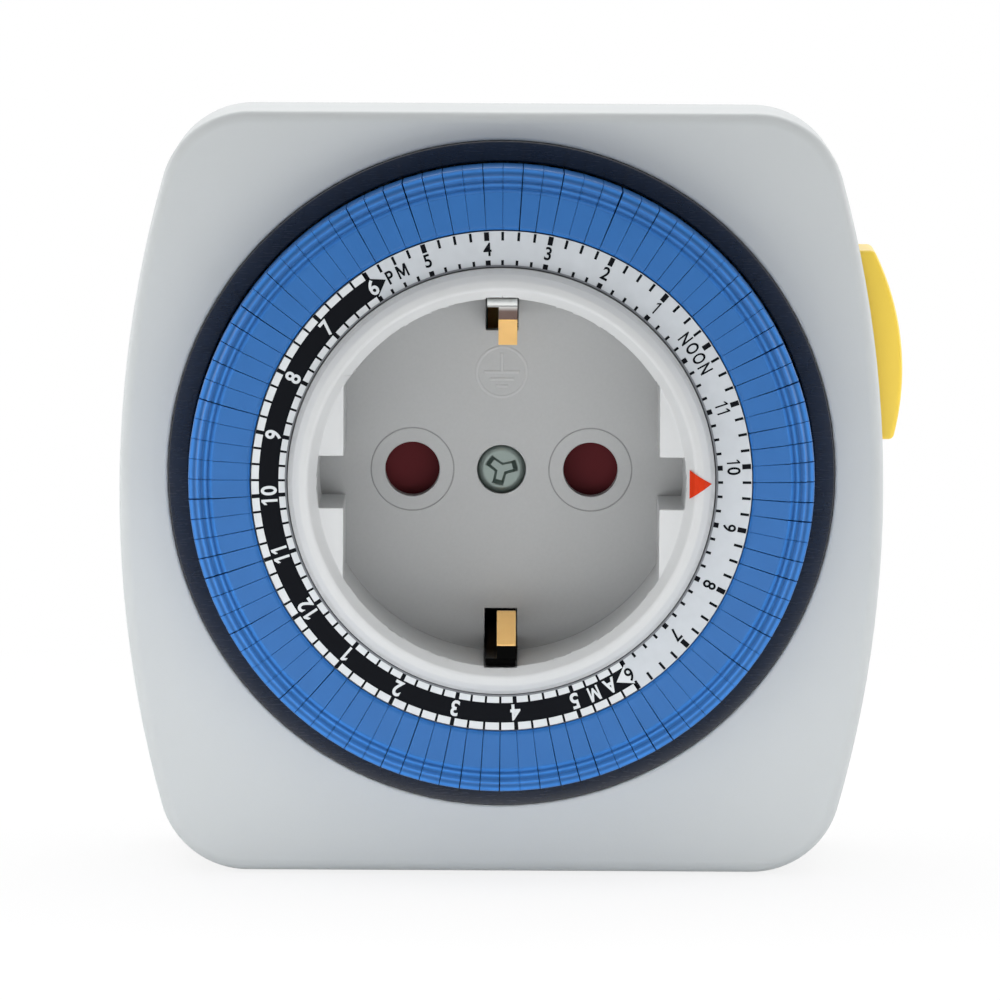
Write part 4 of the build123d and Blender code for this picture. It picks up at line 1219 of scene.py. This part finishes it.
def make_white_print(bm):
    for quarter in range(TAPPET_COUNT // 2):
        sides = quarter, quarter + 1
        gaps = [THIN_GAP if side % TAPPETS_AN_HOUR else HOUR_GAP for side in sides]
        for inner, outer in ((RING_IN, BAND_IN - 0.02), (BAND_OUT + 0.04, TRACK_OUT + 0.02)):
            start, end = (degrees(gap / 2 / inner) for gap in gaps)
            low = NIGHT_FROM + quarter * QUARTER
            patch(bm, inner, outer, low + start, low + QUARTER - end, BLOCK_LEVEL)
    arrow(bm, NIGHT_TO, BLOCK_LEVEL)
    write_all(bm, range(18, 30), 1.7, 0.025, WHITE_WORDS)


def make_number_ring():
    back, face = DIAL_FACE - RING_THICKNESS, DIAL_FACE - 0.04
    corners = [(RING_IN, back, 0), (RING_OUT, back, 0), (RING_OUT, face, 0)]
    section = rounded([*corners, (RING_IN + 0.02, face, 0.03)], 2)
    new_piece("number_disc", lambda bm: lathe(bm, section), ring_white, "dial", "number_ring")
    new_piece("black_print", make_black_print, ink_black, "dial")
    new_piece("white_print", make_white_print, ink_white, "dial")


def make_carrier_lip():
    """Grey edge of the dial wheel that shows between the number ring and the collar."""
    inner, outer, front = COLLAR_R + 0.08, RING_IN + 0.1, DIAL_FACE - 0.1
    section = [(inner, LIP_BACK), (outer, LIP_BACK), (outer, front), (inner + 0.04, front)]
    new_piece("carrier_lip", lambda bm: lathe(bm, section), carrier_grey, "dial")


# ------------------------ carried-over nodes
def carry_over():
    """Nodes whose CAD shape is right keep it and get their finish."""
    kept = {
        carrier_dark: ["dial_carrier"],
        gear_natural: ["transfer_gear", "switch_plunger", "switch_lever"],
        pointer_red: ["time_pointer"],
        shutter_red: ["shutter"],
        inner_dark: ["contact_block", "switch_case", "motor_rotor"],
        steel: [
            "plate_screws", "gear_plate", "motor_can", "transfer_axle",
            "lever_pin", "rear_earth_strap",
        ],
        nickel: ["neutral_pin", "line_pin"],
        brass: ["earth_rivet", "neutral_contact", "line_contact", "line_feed", "switch_terminals"],
        copper: ["motor_coil"],
    }
    for finish, names in kept.items():
        for name in names:
            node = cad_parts[name]
            node.data.materials.clear()
            node.data.materials.append(finish.material)


# ------------------------ studio
SIDE_AIR = 0.70
FRONT_AIR = 0.15
FLOOR_HALF = 9.0


def make_world():
    """White to the eye and in gloss; as light it is weaker from the front than from around."""
    world = bpy.data.worlds.new("studio_air")
    bpy.context.scene.world = world
    world.use_nodes = True
    shader = Shader(world.node_tree)
    direction = shader.node("ShaderNodeTexCoord", output=0)
    back = shader.node("ShaderNodeSeparateXYZ", sockets={0: direction}, output=1)
    front = shader.ramp(back * -1, (0.45, 0), (0.85, 1))

    def air(strength):
        sockets = {"Color": (1, 1, 1, 1), "Strength": strength}
        return shader.node("ShaderNodeBackground", sockets=sockets)

    light = shader.either(front, air(SIDE_AIR), air(FRONT_AIR))
    mixed = shader.either(shader.white_rays(), light, air(1.0))
    shader.node("ShaderNodeOutputWorld", sockets={0: mixed})


def make_floor():
    """Pale floor: it catches the shadow near the object and is plain white further off."""
    bm = bmesh.new()
    bmesh.ops.create_grid(bm, x_segments=1, y_segments=1, size=FLOOR_HALF)
    floor = mesh_object("studio_floor", bm)
    floor.location.z = CASE_BOTTOM * MM - 0.0002
    finish = Finish("floor_white", "")
    seen = finish.white_rays()
    matt = finish.node("ShaderNodeBsdfDiffuse", sockets={"Color": (0.9, 0.9, 0.9, 1)})
    glow = finish.node("ShaderNodeEmission", sockets={"Color": (1, 1, 1, 1), "Strength": 1.0})
    distance = finish.node("ShaderNodeVectorMath", {"operation": "LENGTH"}, {0: finish.place()}, 1)
    far = finish.ramp(distance * 2.0, (0.08, 0.8), (0.35, 1))
    mixed = finish.either(seen * far, matt, glow)
    finish.node("ShaderNodeOutputMaterial", sockets={0: mixed})
    floor.data.materials.append(finish.material)


# Lamps: name, place, aim and size in metres, power in watts, and whether gloss shows it
TABLE = CASE_BOTTOM * MM + 0.001
LAMPS = [
    ("back_softbox", (0, 0.75, 0.75), (0, 0, 0), (1.2, 0.6), 5.0, True),
    ("top_softbox", (0, -0.15, 0.9), (0, -0.03, 0), (0.9, 0.35), 1.25, True),
    ("front_softbox", (-0.4, -1.3, 0.25), (0, -0.05, 0), (0.9, 0.5), 0.22, True),
    ("left_softbox", (-0.75, 0.25, 0.1), (0, -0.03, 0), (0.5, 0.6), 2.4, True),
    ("right_softbox", (0.75, 0.25, 0.1), (0, -0.03, 0), (0.5, 0.6), 2.4, True),
    ("low_card", (-0.01, -0.16, -0.026), (0, -0.05, -0.03), (0.24, 0.03), 0.08, False),
    ("table_card", (0, -0.095, TABLE), (0, -0.095, 1), (0.3, 0.08), 0.015, False),
]


def add_lamp(name, place, aim, size, power, in_gloss):
    lamp = bpy.data.lights.new(name, "AREA")
    lamp.shape = "RECTANGLE"
    lamp.size, lamp.size_y = size
    lamp.energy = power
    holder = bpy.data.objects.new(name, lamp)
    holder.location = place
    holder.visible_camera = False
    holder.visible_glossy = in_gloss
    holder.rotation_mode = "QUATERNION"
    holder.rotation_quaternion = (Vector(aim) - Vector(place)).to_track_quat("-Z", "Y")
    bpy.context.scene.collection.objects.link(holder)


def make_camera():
    """Long lens, a little above the socket's axis."""
    distance, raised, tilted = 1.0, radians(5.25), radians(0.3)
    shift_right, shift_up = 0.14, 1.68
    data = bpy.data.cameras.new("camera")
    data.sensor_width = 36
    data.lens = 343.2
    data.clip_start, data.clip_end = 0.05, 50
    camera = bpy.data.objects.new("camera", data)
    back = Vector((0, -cos(raised), sin(raised)))
    up = Vector((0, sin(raised), cos(raised)))
    aim = point(0, 0, CREST) - Vector((shift_right * MM, 0, 0)) - up * shift_up * MM
    camera.location = aim + back * distance
    camera.rotation_mode = "QUATERNION"
    roll = Matrix.Rotation(tilted, 3, back).to_quaternion()
    camera.rotation_quaternion = roll @ (-back).to_track_quat("-Z", "Y")
    bpy.context.scene.collection.objects.link(camera)
    bpy.context.scene.camera = camera


make_front_cover()
make_rear_housing()
make_case_screws()
make_bezel()
make_rocker()
make_socket_insert()
make_socket_screw()
make_earth_clips()
make_return_leaf()
make_tappets()
make_number_ring()
make_carrier_lip()
carry_over()
make_world()
make_floor()
make_camera()
for lamp in LAMPS:
    add_lamp(*lamp)

bpy.context.scene.view_settings.view_transform = "Standard"
